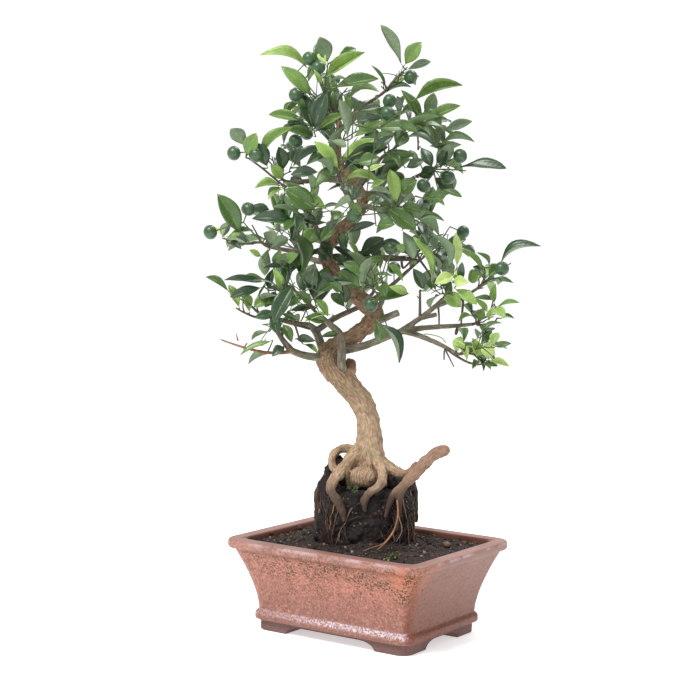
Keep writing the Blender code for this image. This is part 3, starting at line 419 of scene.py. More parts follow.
def joined(name, copies, finishes):
    """One piece from many copies, each given as its points, its faces and its faces' finishes."""
    points, faces, kinds = [], [], []
    for copy_points, copy_faces, copy_kinds in copies:
        start = len(points)
        points.extend(np.asarray(copy_points).tolist())
        faces.extend([tuple(start + corner for corner in face) for face in copy_faces])
        kinds.extend(copy_kinds)
    mesh = bpy.data.meshes.new(name)
    mesh.from_pydata(points, [], faces)
    for finish in finishes:
        mesh.materials.append(finish)
    mesh.polygons.foreach_set("material_index", np.array(kinds, np.int32))
    mesh.polygons.foreach_set("use_smooth", np.ones(len(faces), bool))
    mesh.update()
    piece = bpy.data.objects.new(name, mesh)
    bpy.context.scene.collection.objects.link(piece)
    return piece


def smooth_path(rings, steps):
    """Rings (side, depth, height, diameter) read from a smooth curve through the given ones."""
    ends = [rings[0], *rings, rings[-1]]
    path = []
    for before, start, end, after in zip(ends, ends[1:], ends[2:], ends[3:]):
        for step in range(steps):
            t = step / steps
            path.append(tuple(
                0.5 * (2 * b + (c - a) * t + (2 * a - 5 * b + 4 * c - d) * t**2
                       + (3 * b - a - 3 * c + d) * t**3)
                for a, b, c, d in zip(before, start, end, after)
            ))
    path.append(tuple(rings[-1]))
    return path


def tube_copy(rings, sides, kind=0, matrix=TREE):
    """A twig, stalk or fibre as a copy for joined: a tube through rings, closed at both ends."""
    path = np.array([ring[:3] for ring in rings], float)
    radii = np.array([ring[3] for ring in rings], float) / 2
    ahead = np.gradient(path, axis=0)
    ahead /= np.linalg.norm(ahead, axis=1)[:, None] + 1e-9
    across = Vector(ahead[0]).orthogonal().normalized()
    points = []
    for centre, way, radius in zip(path, ahead, radii):
        way = Vector(way)
        across = (across - way * across.dot(way)).normalized()
        upward = way.cross(across)
        for step in range(sides):
            turn = math.tau * step / sides
            rim = across * math.cos(turn) + upward * math.sin(turn)
            points.append(matrix @ ((Vector(centre) + rim * radius) * MM))
    faces = []
    for ring in range(len(rings) - 1):
        low, high = ring * sides, (ring + 1) * sides
        for step in range(sides):
            after = (step + 1) % sides
            faces.append((low + step, low + after, high + after, high + step))
    faces.append(tuple(reversed(range(sides))))
    faces.append(tuple(range(len(points) - sides, len(points))))
    return np.array(points), faces, [kind] * len(faces)


def moved_copy(source, matrix, kind=None):
    """A copy moved by a matrix, with one finish all over if a kind is given."""
    points, faces, kinds = source
    turned = points @ np.array(matrix.to_3x3()).T + np.array(matrix.translation)
    return turned, faces, kinds if kind is None else [kind] * len(faces)


def model_of(piece):
    """A modelled piece's points, faces and finishes, for copying; the piece itself goes."""
    mesh = piece.data
    faces = [tuple(face.vertices) for face in mesh.polygons]
    kinds = [face.material_index for face in mesh.polygons]
    found = points_of(mesh), faces, kinds
    bpy.data.objects.remove(piece)
    return found


# Finishes

def add_node(tree, kind, inputs=None, **settings):
    """A node with its settings, and its inputs given as plain values or as sockets to link."""
    made = tree.nodes.new(kind)
    for name, value in settings.items():
        setattr(made, name, value)
    for name, value in (inputs or {}).items():
        if isinstance(value, bpy.types.NodeSocket):
            tree.links.new(value, made.inputs[name])
        else:
            made.inputs[name].default_value = value
    return made


def ramp(tree, value, stops):
    """A colour from a value, by stops (place, colour)."""
    made = add_node(tree, "ShaderNodeValToRGB", {"Fac": value})
    while len(made.color_ramp.elements) < len(stops):
        made.color_ramp.elements.new(0.5)
    for element, (place, colour) in zip(made.color_ramp.elements, stops):
        element.position = place
        element.color = (*colour, 1.0)
    return made.outputs["Color"]


def band(tree, value, low, high, to_low=0.0, to_high=1.0):
    """A value stretched from low..high to to_low..to_high and held there."""
    return add_node(tree, "ShaderNodeMapRange", {
        "Value": value, "From Min": low, "From Max": high, "To Min": to_low, "To Max": to_high,
    }, interpolation_type="SMOOTHSTEP").outputs["Result"]


def calculate(tree, how, first, second):
    return add_node(tree, "ShaderNodeMath", {0: first, 1: second}, operation=how).outputs["Value"]


def times(tree, first, *others):
    """The product of values."""
    for other in others:
        first = calculate(tree, "MULTIPLY", first, other)
    return first


def split(tree, vector):
    """The three parts of a vector."""
    return add_node(tree, "ShaderNodeSeparateXYZ", {"Vector": vector}).outputs


def away_from(tree, places, spot):
    """How far places are from one spot, in metres."""
    return add_node(tree, "ShaderNodeVectorMath", {
        0: places, 1: tuple(spot)}, operation="DISTANCE").outputs["Value"]


def blend_colour(tree, share, first, second):
    made = add_node(tree, "ShaderNodeMix", {"Factor": share}, data_type="RGBA")
    for socket, value in ((made.inputs[6], first), (made.inputs[7], second)):
        if isinstance(value, bpy.types.NodeSocket):
            tree.links.new(value, socket)
        else:
            socket.default_value = (*value, 1.0)
    return made.outputs[2]


def layered(tree, base, *layers):
    """Colours laid over a base in turn, each given as its share and its colour."""
    for share, colour in layers:
        base = blend_colour(tree, share, base, colour)
    return base


def object_places(tree):
    return add_node(tree, "ShaderNodeTexCoord").outputs["Object"]


def noise_value(tree, places, scale, detail=4.0, roughness=0.55, distortion=0.0):
    return add_node(tree, "ShaderNodeTexNoise", {
        "Vector": places, "Scale": scale, "Detail": detail, "Roughness": roughness,
        "Distortion": distortion,
    }).outputs["Fac"]


def new_group(name, inputs, outputs):
    """A shader node group with named value, colour or vector sockets."""
    group = bpy.data.node_groups.new(name, "ShaderNodeTree")
    for socket, kind, value in inputs:
        made = group.interface.new_socket(socket, in_out="INPUT", socket_type=kind)
        if value is not None:
            made.default_value = value
    for socket, kind in outputs:
        group.interface.new_socket(socket, in_out="OUTPUT", socket_type=kind)
    return group, group.nodes.new("NodeGroupInput"), group.nodes.new("NodeGroupOutput")


def use_group(tree, group, inputs):
    return add_node(tree, "ShaderNodeGroup", inputs, node_tree=group)


def mottle_group():
    """Soft patches at two scales, as a value from 0 to 1."""
    group, given, out = new_group(
        "mottle", [("Scale", "NodeSocketFloat", 20.0), ("Low", "NodeSocketFloat", 0.35),
                   ("High", "NodeSocketFloat", 0.65)], [("Value", "NodeSocketFloat")])
    places = object_places(group)
    patches = noise_value(group, places, given.outputs["Scale"], 5.0, 0.6)
    stretched = add_node(group, "ShaderNodeMapRange", {
        "Value": patches, "From Min": given.outputs["Low"], "From Max": given.outputs["High"],
    }).outputs["Result"]
    group.links.new(stretched, out.inputs["Value"])
    return group


def speck_group():
    """Ragged specks: 1 inside a speck and 0 outside. Amount is the share of cells that hold one."""
    group, given, out = new_group(
        "specks", [("Scale", "NodeSocketFloat", 400.0), ("Amount", "NodeSocketFloat", 0.3),
                   ("Size", "NodeSocketFloat", 0.35)], [("Mask", "NodeSocketFloat")])
    places = object_places(group)
    wander = add_node(group, "ShaderNodeTexNoise", {
        "Vector": places, "Scale": given.outputs["Scale"], "Detail": 2.0}).outputs["Color"]
    shifted = add_node(group, "ShaderNodeVectorMath", {
        0: wander, 1: (SPECK_WANDER,) * 3}, operation="MULTIPLY").outputs["Vector"]
    ragged = add_node(group, "ShaderNodeVectorMath", {0: places, 1: shifted}).outputs["Vector"]
    cells = add_node(group, "ShaderNodeTexVoronoi", {
        "Vector": ragged, "Scale": given.outputs["Scale"], "Randomness": 1.0})
    drawn = add_node(group, "ShaderNodeSeparateColor", {"Color": cells.outputs["Color"]}).outputs["Red"]
    held = calculate(group, "LESS_THAN", drawn, given.outputs["Amount"])
    near = calculate(group, "LESS_THAN", cells.outputs["Distance"], given.outputs["Size"])
    group.links.new(times(group, held, near), out.inputs["Mask"])
    return group


def bark_group():
    """Streaks that run along a limb, by the piece's grain attribute, with fine cross wrinkles."""
    group, given, out = new_group(
        "bark_grain", [("Scale", "NodeSocketFloat", 500.0)],
        [("Furrow", "NodeSocketFloat"), ("Wrinkle", "NodeSocketFloat")])
    grain = add_node(group, "ShaderNodeAttribute", attribute_name="grain").outputs["Vector"]
    streaks = noise_value(group, grain, given.outputs["Scale"], 6.0, 0.65, 0.3)
    group.links.new(streaks, out.inputs["Furrow"])
    across = add_node(group, "ShaderNodeMapping", {
        "Vector": grain, "Scale": (0.25, 0.25, 9.0)}).outputs["Vector"]
    group.links.new(noise_value(group, across, given.outputs["Scale"], 3.0, 0.6), out.inputs["Wrinkle"])
    return group


SPECK_WANDER = 0.0022
MOTTLE = mottle_group()
SPECKS = speck_group()
BARK_GRAIN = bark_group()


def mottle(tree, scale, low=0.35, high=0.65):
    return use_group(tree, MOTTLE, {"Scale": scale, "Low": low, "High": high}).outputs["Value"]


def specks(tree, scale, amount, size):
    return use_group(tree, SPECKS, {"Scale": scale, "Amount": amount, "Size": size}).outputs["Mask"]


def new_finish(name, roughness, coat=0.0, specular=0.5):
    made = bpy.data.materials.new(name)
    made.use_nodes = True
    shader = made.node_tree.nodes["Principled BSDF"]
    for socket, value in (("Roughness", roughness), ("Coat Weight", coat), ("Coat Roughness", 0.15),
                          ("Specular IOR Level", specular)):
        shader.inputs[socket].default_value = value
    return made, made.node_tree, shader


def give_bump(tree, shader, height, strength, distance):
    bump = add_node(tree, "ShaderNodeBump", {"Height": height, "Strength": strength, "Distance": distance})
    tree.links.new(bump.outputs["Normal"], shader.inputs["Normal"])


def link_colour(tree, shader, colour):
    tree.links.new(colour, shader.inputs["Base Color"])


# The view: where the tree is looked at from, in its own frame, in metres. It looks down by VIEW_RISE at
# a place to the side and up, VIEW_DISTANCE away. VIEW_FOCUS and FRAME_WIDTH are in steps of the frame.

VIEW_RISE = math.radians(4.88)
VIEW_DISTANCE = 1.553
VIEW_TARGET = (-0.0206, 0.2582)
VIEW_ROLL = 0.0212
VIEW_FOCUS = 1708.8
FRAME_WIDTH = 700
SENSOR = 36.0

SIDEWAYS = Vector((1.0, 0.0, 0.0))
VIEW_UP = Vector((0.0, math.sin(VIEW_RISE), math.cos(VIEW_RISE)))
VIEW_AHEAD = Vector((0.0, math.cos(VIEW_RISE), -math.sin(VIEW_RISE)))
EYE = Vector((VIEW_TARGET[0], 0.0, VIEW_TARGET[1])) - VIEW_AHEAD * VIEW_DISTANCE


def sight(across, down):
    """The direction of sight through a point of the frame, in the tree's frame."""
    u, v = across - FRAME_WIDTH / 2, down - FRAME_WIDTH / 2
    turned_u = u * math.cos(VIEW_ROLL) + v * math.sin(VIEW_ROLL)
    turned_v = v * math.cos(VIEW_ROLL) - u * math.sin(VIEW_ROLL)
    return SIDEWAYS * (turned_u / VIEW_FOCUS) - VIEW_UP * (turned_v / VIEW_FOCUS) + VIEW_AHEAD


def seen(across, down, depth):
    """The place, in mm, that shows at a point of the frame and lies at a depth."""
    ray = sight(across, down)
    return (EYE + ray * ((depth * MM - EYE.y) / ray.y)) / MM


def on_level(across, down, height):
    """The place, in mm, that shows at a point of the frame and lies at a height."""
    ray = sight(across, down)
    return (EYE + ray * ((height * MM - EYE.z) / ray.z)) / MM


def shown_at(point):
    """Where in the frame a place of the tree's frame shows, across and down."""
    away = Vector(point[:3]) * MM - EYE
    ahead = away.dot(VIEW_AHEAD)
    u = away.dot(SIDEWAYS) / ahead * VIEW_FOCUS
    v = -away.dot(VIEW_UP) / ahead * VIEW_FOCUS
    across = u * math.cos(VIEW_ROLL) - v * math.sin(VIEW_ROLL)
    down = u * math.sin(VIEW_ROLL) + v * math.cos(VIEW_ROLL)
    return across + FRAME_WIDTH / 2, down + FRAME_WIDTH / 2


# The growth rule

def depth_in(mass, point):
    """How far out a point lies in a mass's space: 0 at its middle, 1 at its skin."""
    _, middle, reach, *_ = MASSES[mass]
    return Vector(a / b for a, b in zip(Vector(point) - Vector(middle), reach)).length


def owns(mass, point):
    """Whether a point lies in a mass's own space: inside its skin, and deeper in it than in any other."""
    own = depth_in(mass, point)
    return own <= SKIN_SLACK and all(own <= depth_in(other, point) for other in MASSES if other != mass)


def tube_polygons(rings, sides, grow):
    """The skin of a tube through rings (x, y, z, diameter), as points and faces for a clearance test."""
    points = []
    faces = []
    for index, ring in enumerate(rings):
        ahead = Vector(rings[min(index + 1, len(rings) - 1)][:3]) - Vector(rings[max(index - 1, 0)][:3])
        across = ahead.orthogonal().normalized()
        upward = ahead.normalized().cross(across)
        radius = ring[3] / 2 + grow
        for step in range(sides):
            turn = math.tau * step / sides
            points.append(Vector(ring[:3]) + (across * math.cos(turn) + upward * math.sin(turn)) * radius)
        if index:
            base = index * sides
            for step in range(sides):
                after = (step + 1) % sides
                faces.append((base + step, base + after, base + after - sides, base + step - sides))
    faces.append(tuple(range(sides)))
    faces.append(tuple(range(len(points) - sides, len(points))))
    return points, faces


def skin_tree(skins):
    """One search tree over several skins."""
    points = []
    faces = []
    for skin_points, skin_faces in skins:
        faces += [tuple(index + len(points) for index in face) for face in skin_faces]
        points += skin_points
    return BVHTree.FromPolygons(points, faces)


def leaf_frame(base, tip, face_up):
    """Axes of a leaf: along it, across it and out of its upper face."""
    along = (tip - base).normalized()
    out = (face_up - along * face_up.dot(along)).normalized()
    return along, out.cross(along), out


def leaf_points(leaf, grow=0.0, start=0.0):
    """The five corners of a leaf's solid: its two ends, its two sides and the ridge of its upper face."""
    base, tip, face_up, width = leaf
    along, across, out = leaf_frame(base, tip, face_up)
    length = (tip - base).length
    arch = out * LEAF_ARCH * length
    half = across * (width / 2 + grow)
    widest = base + along * length * LEAF_WIDEST + arch - out * grow
    ridge = base + along * length * LEAF_WIDEST + arch + out * (LEAF_THICKNESS + grow)
    root = base + (along * length + arch) * start if start else base - along * LEAF_SUNK
    return [root, tip + along * grow, widest - half, widest + half, ridge]


LEAF_FACES = [(0, 2, 4), (0, 4, 3), (1, 4, 2), (1, 3, 4), (0, 3, 2), (1, 2, 3)]


def ball_points(middle, diameter, grow):
    """The skin of a fruit, as points and faces for a clearance test."""
    shape = bmesh.new()
    bmesh.ops.create_icosphere(shape, subdivisions=1, radius=diameter / 2 + grow)
    points = [vert.co + Vector(middle) for vert in shape.verts]
    faces = [tuple(vert.index for vert in face.verts) for face in shape.faces]
    shape.free()
    return points, faces


def arc(start, control, end, diameters, steps):
    """Rings along a bent shoot that tapers."""
    rings = []
    for step in range(steps + 1):
        t = step / steps
        point = start * (1 - t) ** 2 + control * 2 * t * (1 - t) + end * t**2
        rings.append((*point, diameters[0] + (diameters[1] - diameters[0]) * t))
    return rings


def sphere_directions(count, turn):
    """Directions spread evenly over a sphere, on a golden spiral."""
    for step in range(count):
        height = 1 - 2 * (step + 0.5) / count
        ring = math.sqrt(1 - height**2)
        angle = math.radians(TURN_DEG) * step + turn
        yield Vector((ring * math.cos(angle), ring * math.sin(angle), height))


def bough_end(bough):
    """Where a mass's stem starts, just past its bough's tip, and which way the bough points there."""
    rings = TRUNK if bough == "trunk" else BOUGHS[bough][1]
    tip = Vector(rings[-1][:3])
    ahead = (tip - Vector(rings[-2][:3])).normalized()
    return tip + ahead * GAP, ahead


def shoot_targets(mass, rng, stem_start):
    """The outer ends of a mass's shoots: those of its outline, then more where none is near."""
    _, middle, reach, tips, more, *_ = MASSES[mass]
    middle = Vector(middle)
    targets = [Vector(tip) for tip in tips]
    away = [(target - middle).normalized() for target in targets]
    back = (stem_start - middle).normalized()
    added = 0
    for way in sphere_directions(4 * more, rng.uniform(0, math.tau)):
        if added == more:
            break
        crowded = any(way.angle(other) < math.radians(SHOOT_SPREAD_DEG) for other in away)
        if crowded or way.angle(back) < math.radians(STEM_CLEAR_DEG):
            continue
        spread = Vector(a * b for a, b in zip(way, reach)) * rng.uniform(*FILL_REACH)
        if not owns(mass, middle + spread * FILL_OWNED):
            continue
        targets.append(middle + spread)
        away.append(way)
        added += 1
    return targets


def grow_wood(mass, limbs, taken):
    """A mass's stem and shoots. A shoot that would touch a limb or another shoot is skipped."""
    bough, middle, _, _, _, leaf_length, _ = MASSES[mass]
    rng = random.Random(f"{SEED} {mass}")
    start, ahead = bough_end(bough)
    hub = Vector(middle)
    span = (hub - start).length
    bend = start + ahead * span * STEM_REACH / 2
    stem = arc(start, bend, start.lerp(hub, STEM_REACH), STEM_DIAMETERS, STEM_STEPS)
    shoots = []
    targets = shoot_targets(mass, rng, start)
    targets.sort(key=lambda target: (target - start).length)
    for step, target in enumerate(targets):
        root, lean = place_on(stem, FIRST_SHOOT + (1 - FIRST_SHOOT) * step / (len(targets) - 1))
        way = (target - root).normalized()
        wood = max((target - root).length - leaf_length * END_LEAF_SHARE, SHORTEST_SHOOT)
        control = root + (lean + way).normalized() * wood / 2
        control.z -= SHOOT_DROOP[0] * wood
        end = root + way * wood
        end.z -= SHOOT_DROOP[1] * wood
        rings = arc(root, control, end, SHOOT_DIAMETERS, SHOOT_STEPS)
        outer = tube_polygons(rings[1:], TWIG_SIDES, CLEAR)
        tree = BVHTree.FromPolygons(*outer)
        if not clear_of(tree, limbs, taken):
            continue
        shoots.append((rings, target))
        taken.append((mass, tree))
    taken.append((mass, BVHTree.FromPolygons(*tube_polygons(stem[1:], TWIG_SIDES, CLEAR))))
    return {"stem": stem, "shoots": shoots, "leaves": [], "fruits": [], "rng": rng}


def place_on(rings, share):
    """A point along a shoot and the shoot's direction there."""
    exact = share * (len(rings) - 1)
    index = min(int(exact), len(rings) - 2)
    start, end = Vector(rings[index][:3]), Vector(rings[index + 1][:3])
    return start.lerp(end, exact - index), (end - start).normalized()


def clear_of(tree, limbs, taken):
    """Whether a skin touches no limb and nothing that has grown."""
    return not tree.overlap(limbs) and not any(tree.overlap(other) for _, other in taken)


def grow_fruits(mass, grown, limbs, taken):
    """Fruits, each on a stalk from the nearest shoot or the stem."""
    for place in MASSES[mass][6]:
        middle = Vector(place)
        woods = [grown["stem"]] + [rings for rings, _ in grown["shoots"]]
        spots = [Vector(ring[:3]) for rings in woods for ring in rings[1:]]
        root = min(spots, key=lambda spot: (spot - middle).length)
        away = (middle - root).normalized()
        middle = root + away * max((middle - root).length, FRUIT_DIAMETER * NEAREST_FRUIT)
        tree = BVHTree.FromPolygons(*ball_points(middle, FRUIT_DIAMETER, CLEAR))
        if not clear_of(tree, limbs, taken):
            continue
        stalk = [(*spot, STALK_DIAMETER) for spot in (root, root.lerp(middle, 0.5), middle)]
        grown["fruits"].append((middle, FRUIT_DIAMETER, stalk))
        taken.append((mass, tree))


def try_leaf(mass, leaf, grown, limbs, taken):
    """Keeps a leaf if it lies in its mass's own space and touches nothing; says whether it does."""
    points = leaf_points(leaf)
    if not all(owns(mass, point) for point in points[1:4]):
        return False
    tree = BVHTree.FromPolygons(leaf_points(leaf, CLEAR, LEAF_CLEAR_FROM), LEAF_FACES)
    if not clear_of(tree, limbs, taken):
        return False
    grown["leaves"].append(leaf)
    taken.append((mass, tree))
    return True


def grow_leaves(mass, grown, limbs, taken):
    """Leaves in a spiral up each shoot, the last one at its end."""
    rng = grown["rng"]
    longest = MASSES[mass][5]
    for rings, target in grown["shoots"]:
        end, ahead = place_on(rings, 1.0)
        length = min((target - end).length, longest * END_LEAF_STRETCH)
        tip = end + (target - end).normalized() * length
        up = Vector((rng.uniform(-0.4, 0.4), rng.uniform(-0.5, 0.1), 1.0))
        try_leaf(mass, (end, tip, up, length * LEAF_WIDTH), grown, limbs, taken)
        turn = rng.uniform(0, math.tau)
        for step in range(SPRAY_LEAVES):
            spot, ahead = place_on(rings, SPRAY_SPOTS[0] - SPRAY_SPOTS[1] * step / SPRAY_LEAVES)
            turn += math.radians(TURN_DEG)
            size = longest * rng.uniform(*LEAF_SIZES)
            for attempt in range(TRIES):
                angle = turn + attempt * math.radians(RETRY_DEG)
                across = ahead.orthogonal().normalized()
                side = Matrix.Rotation(angle, 3, ahead) @ across
                splay = math.radians(rng.uniform(*LEAF_SPLAY_DEG))
                way = ahead * math.cos(splay) + side * math.sin(splay)
                way.z += rng.uniform(*LEAF_LIFT)
                way.normalize()
                length = size * (1.0 - (1.0 - SMALLEST_LEAF) * attempt / TRIES)
                up = Vector((rng.uniform(-0.35, 0.35), rng.uniform(-0.45, 0.25), 1.0)) + ahead * 0.4
                width = length * LEAF_WIDTH * rng.uniform(*LEAF_WIDTHS)
                if try_leaf(mass, (spot, spot + way * length, up, width), grown, limbs, taken):
                    break


def grow_crown():
    """Every mass's growth, the wood of all of them first."""
    skins = [tube_polygons(TRUNK, TRUNK_SIDES, CLEAR)]
    for _, rings in BOUGHS.values():
        skins.append(tube_polygons(rings, BOUGH_SIDES, CLEAR))
    limbs = skin_tree(skins)
    taken = []
    crown = {mass: grow_wood(mass, limbs, taken) for mass in MASSES}
    for step in (grow_fruits, grow_leaves):
        for mass, grown in crown.items():
            step(mass, grown, limbs, taken)
    return crown


# The pot

def wall_inset(height):
    """How far the pot's outer wall stands inside its rim at a height between band and lip."""
    share = (height - FLARE_BOTTOM) / (FLARE_TOP - FLARE_BOTTOM)
    return FLARE_BOTTOM_INSET - (FLARE_BOTTOM_INSET - FLARE_TOP_INSET) * max(share, 0.0) ** FLARE_POWER


def inner_inset(height, gap=0.0):
    """How far the pot's inner wall, or what stands a gap inside it, is from the rim."""
    return max(wall_inset(height) + POT_WALL, LIP_INNER_INSET) + gap


def rounded_block(name, profile, corner, segments):
    """A block with rounded corners, drawn up from its foot through a profile of (height, inset)."""
    first_height, first_inset = profile[0]
    bpy.ops.mesh.primitive_plane_add(size=1.0, location=(0.0, 0.0, first_height * MM))
    block = bpy.context.object
    block.name = name
    block.scale = ((RIM_LENGTH - 2 * first_inset) * MM, (RIM_WIDTH - 2 * first_inset) * MM, 1.0)
    bpy.ops.object.transform_apply(location=True, rotation=True, scale=True)
    bpy.ops.object.mode_set(mode="EDIT")
    bpy.ops.mesh.select_all(action="SELECT")
    bpy.ops.mesh.bevel(affect="VERTICES", offset=corner * MM, segments=segments)
    bpy.ops.mesh.select_all(action="SELECT")
    draw_up([
        (low, high, *((side / 2 - next_inset) / (side / 2 - inset) for side in (RIM_LENGTH, RIM_WIDTH)))
        for (low, inset), (high, next_inset) in zip(profile, profile[1:])])
    return block


def foot_gap(name, span, half_gap):
    """The gap between two feet, as a bar with a flat elliptical arch, right across under the pot."""
    bpy.ops.mesh.primitive_cube_add(size=1.0)
    gap = bpy.context.object
    gap.name = name
    gap.scale = (span * MM, 2 * half_gap / ARCH_STRETCH * MM, 2 * FOOT_HEIGHT * MM)
    bpy.ops.object.transform_apply(scale=True)
    bpy.ops.object.mode_set(mode="EDIT")
    shape = bmesh.from_edit_mesh(gap.data)
    for edge in shape.edges:
        first, second = (vert.co for vert in edge.verts)
        edge.select = first.z > 0 and second.z > 0 and abs(first.x - second.x) > MM
    bmesh.update_edit_mesh(gap.data)
    bpy.ops.mesh.bevel(offset=FOOT_ARCH * MM, segments=8, profile=0.5)
    bpy.ops.mesh.select_all(action="SELECT")
    bpy.ops.transform.resize(value=(1.0, ARCH_STRETCH, 1.0), center_override=(0.0, 0.0, 0.0))
    bpy.ops.object.mode_set(mode="OBJECT")
    return gap


def cut_with(piece, cutter):
    """Cuts one piece's shape out of another; the cutter goes."""
    made = piece.modifiers.new("cut", "BOOLEAN")
    made.operation = "DIFFERENCE"
    made.solver = "EXACT"
    made.object = cutter
    apply_modifiers(piece)
    bpy.data.objects.remove(cutter)


FOOT_ARCH = 8.0
ARCH_STRETCH = 2.0
POT_CORNER = 11.0
POT_PROFILE = [
    (0.0, FOOT_INSET + 0.8), (0.8, FOOT_INSET + 0.1), (5.0, FOOT_INSET), (9.2, FOOT_INSET),
    (10.0, 20.9), (10.6, 19.9), (11.6, 19.55), (13.5, 19.5), (15.4, 19.6), (16.8, 20.0), (17.9, 20.8),
    (18.8, 21.7), (20.0, 22.1),
    *((height, wall_inset(height)) for height in (24, 28, 33, 38, 43, 48, 53, 58, 63, 67, 71, 74)),
    (75.2, 4.9), (75.9, 4.2), (76.3, 3.0), (76.7, 1.7), (77.3, 0.8), (78.2, 0.3), (79.6, 0.05),
    (82.4, 0.05), (83.7, 0.3), (84.5, 0.9), (84.95, 1.9), (85.0, 3.4), (84.9, 10.4), (84.8, 12.0),
    (84.4, 12.8), (83.4, 13.2), (80.0, 13.2), (72.0, inner_inset(72.0)), (45.0, inner_inset(45.0)),
    (FLOOR_TOP, inner_inset(FLOOR_TOP)),
]


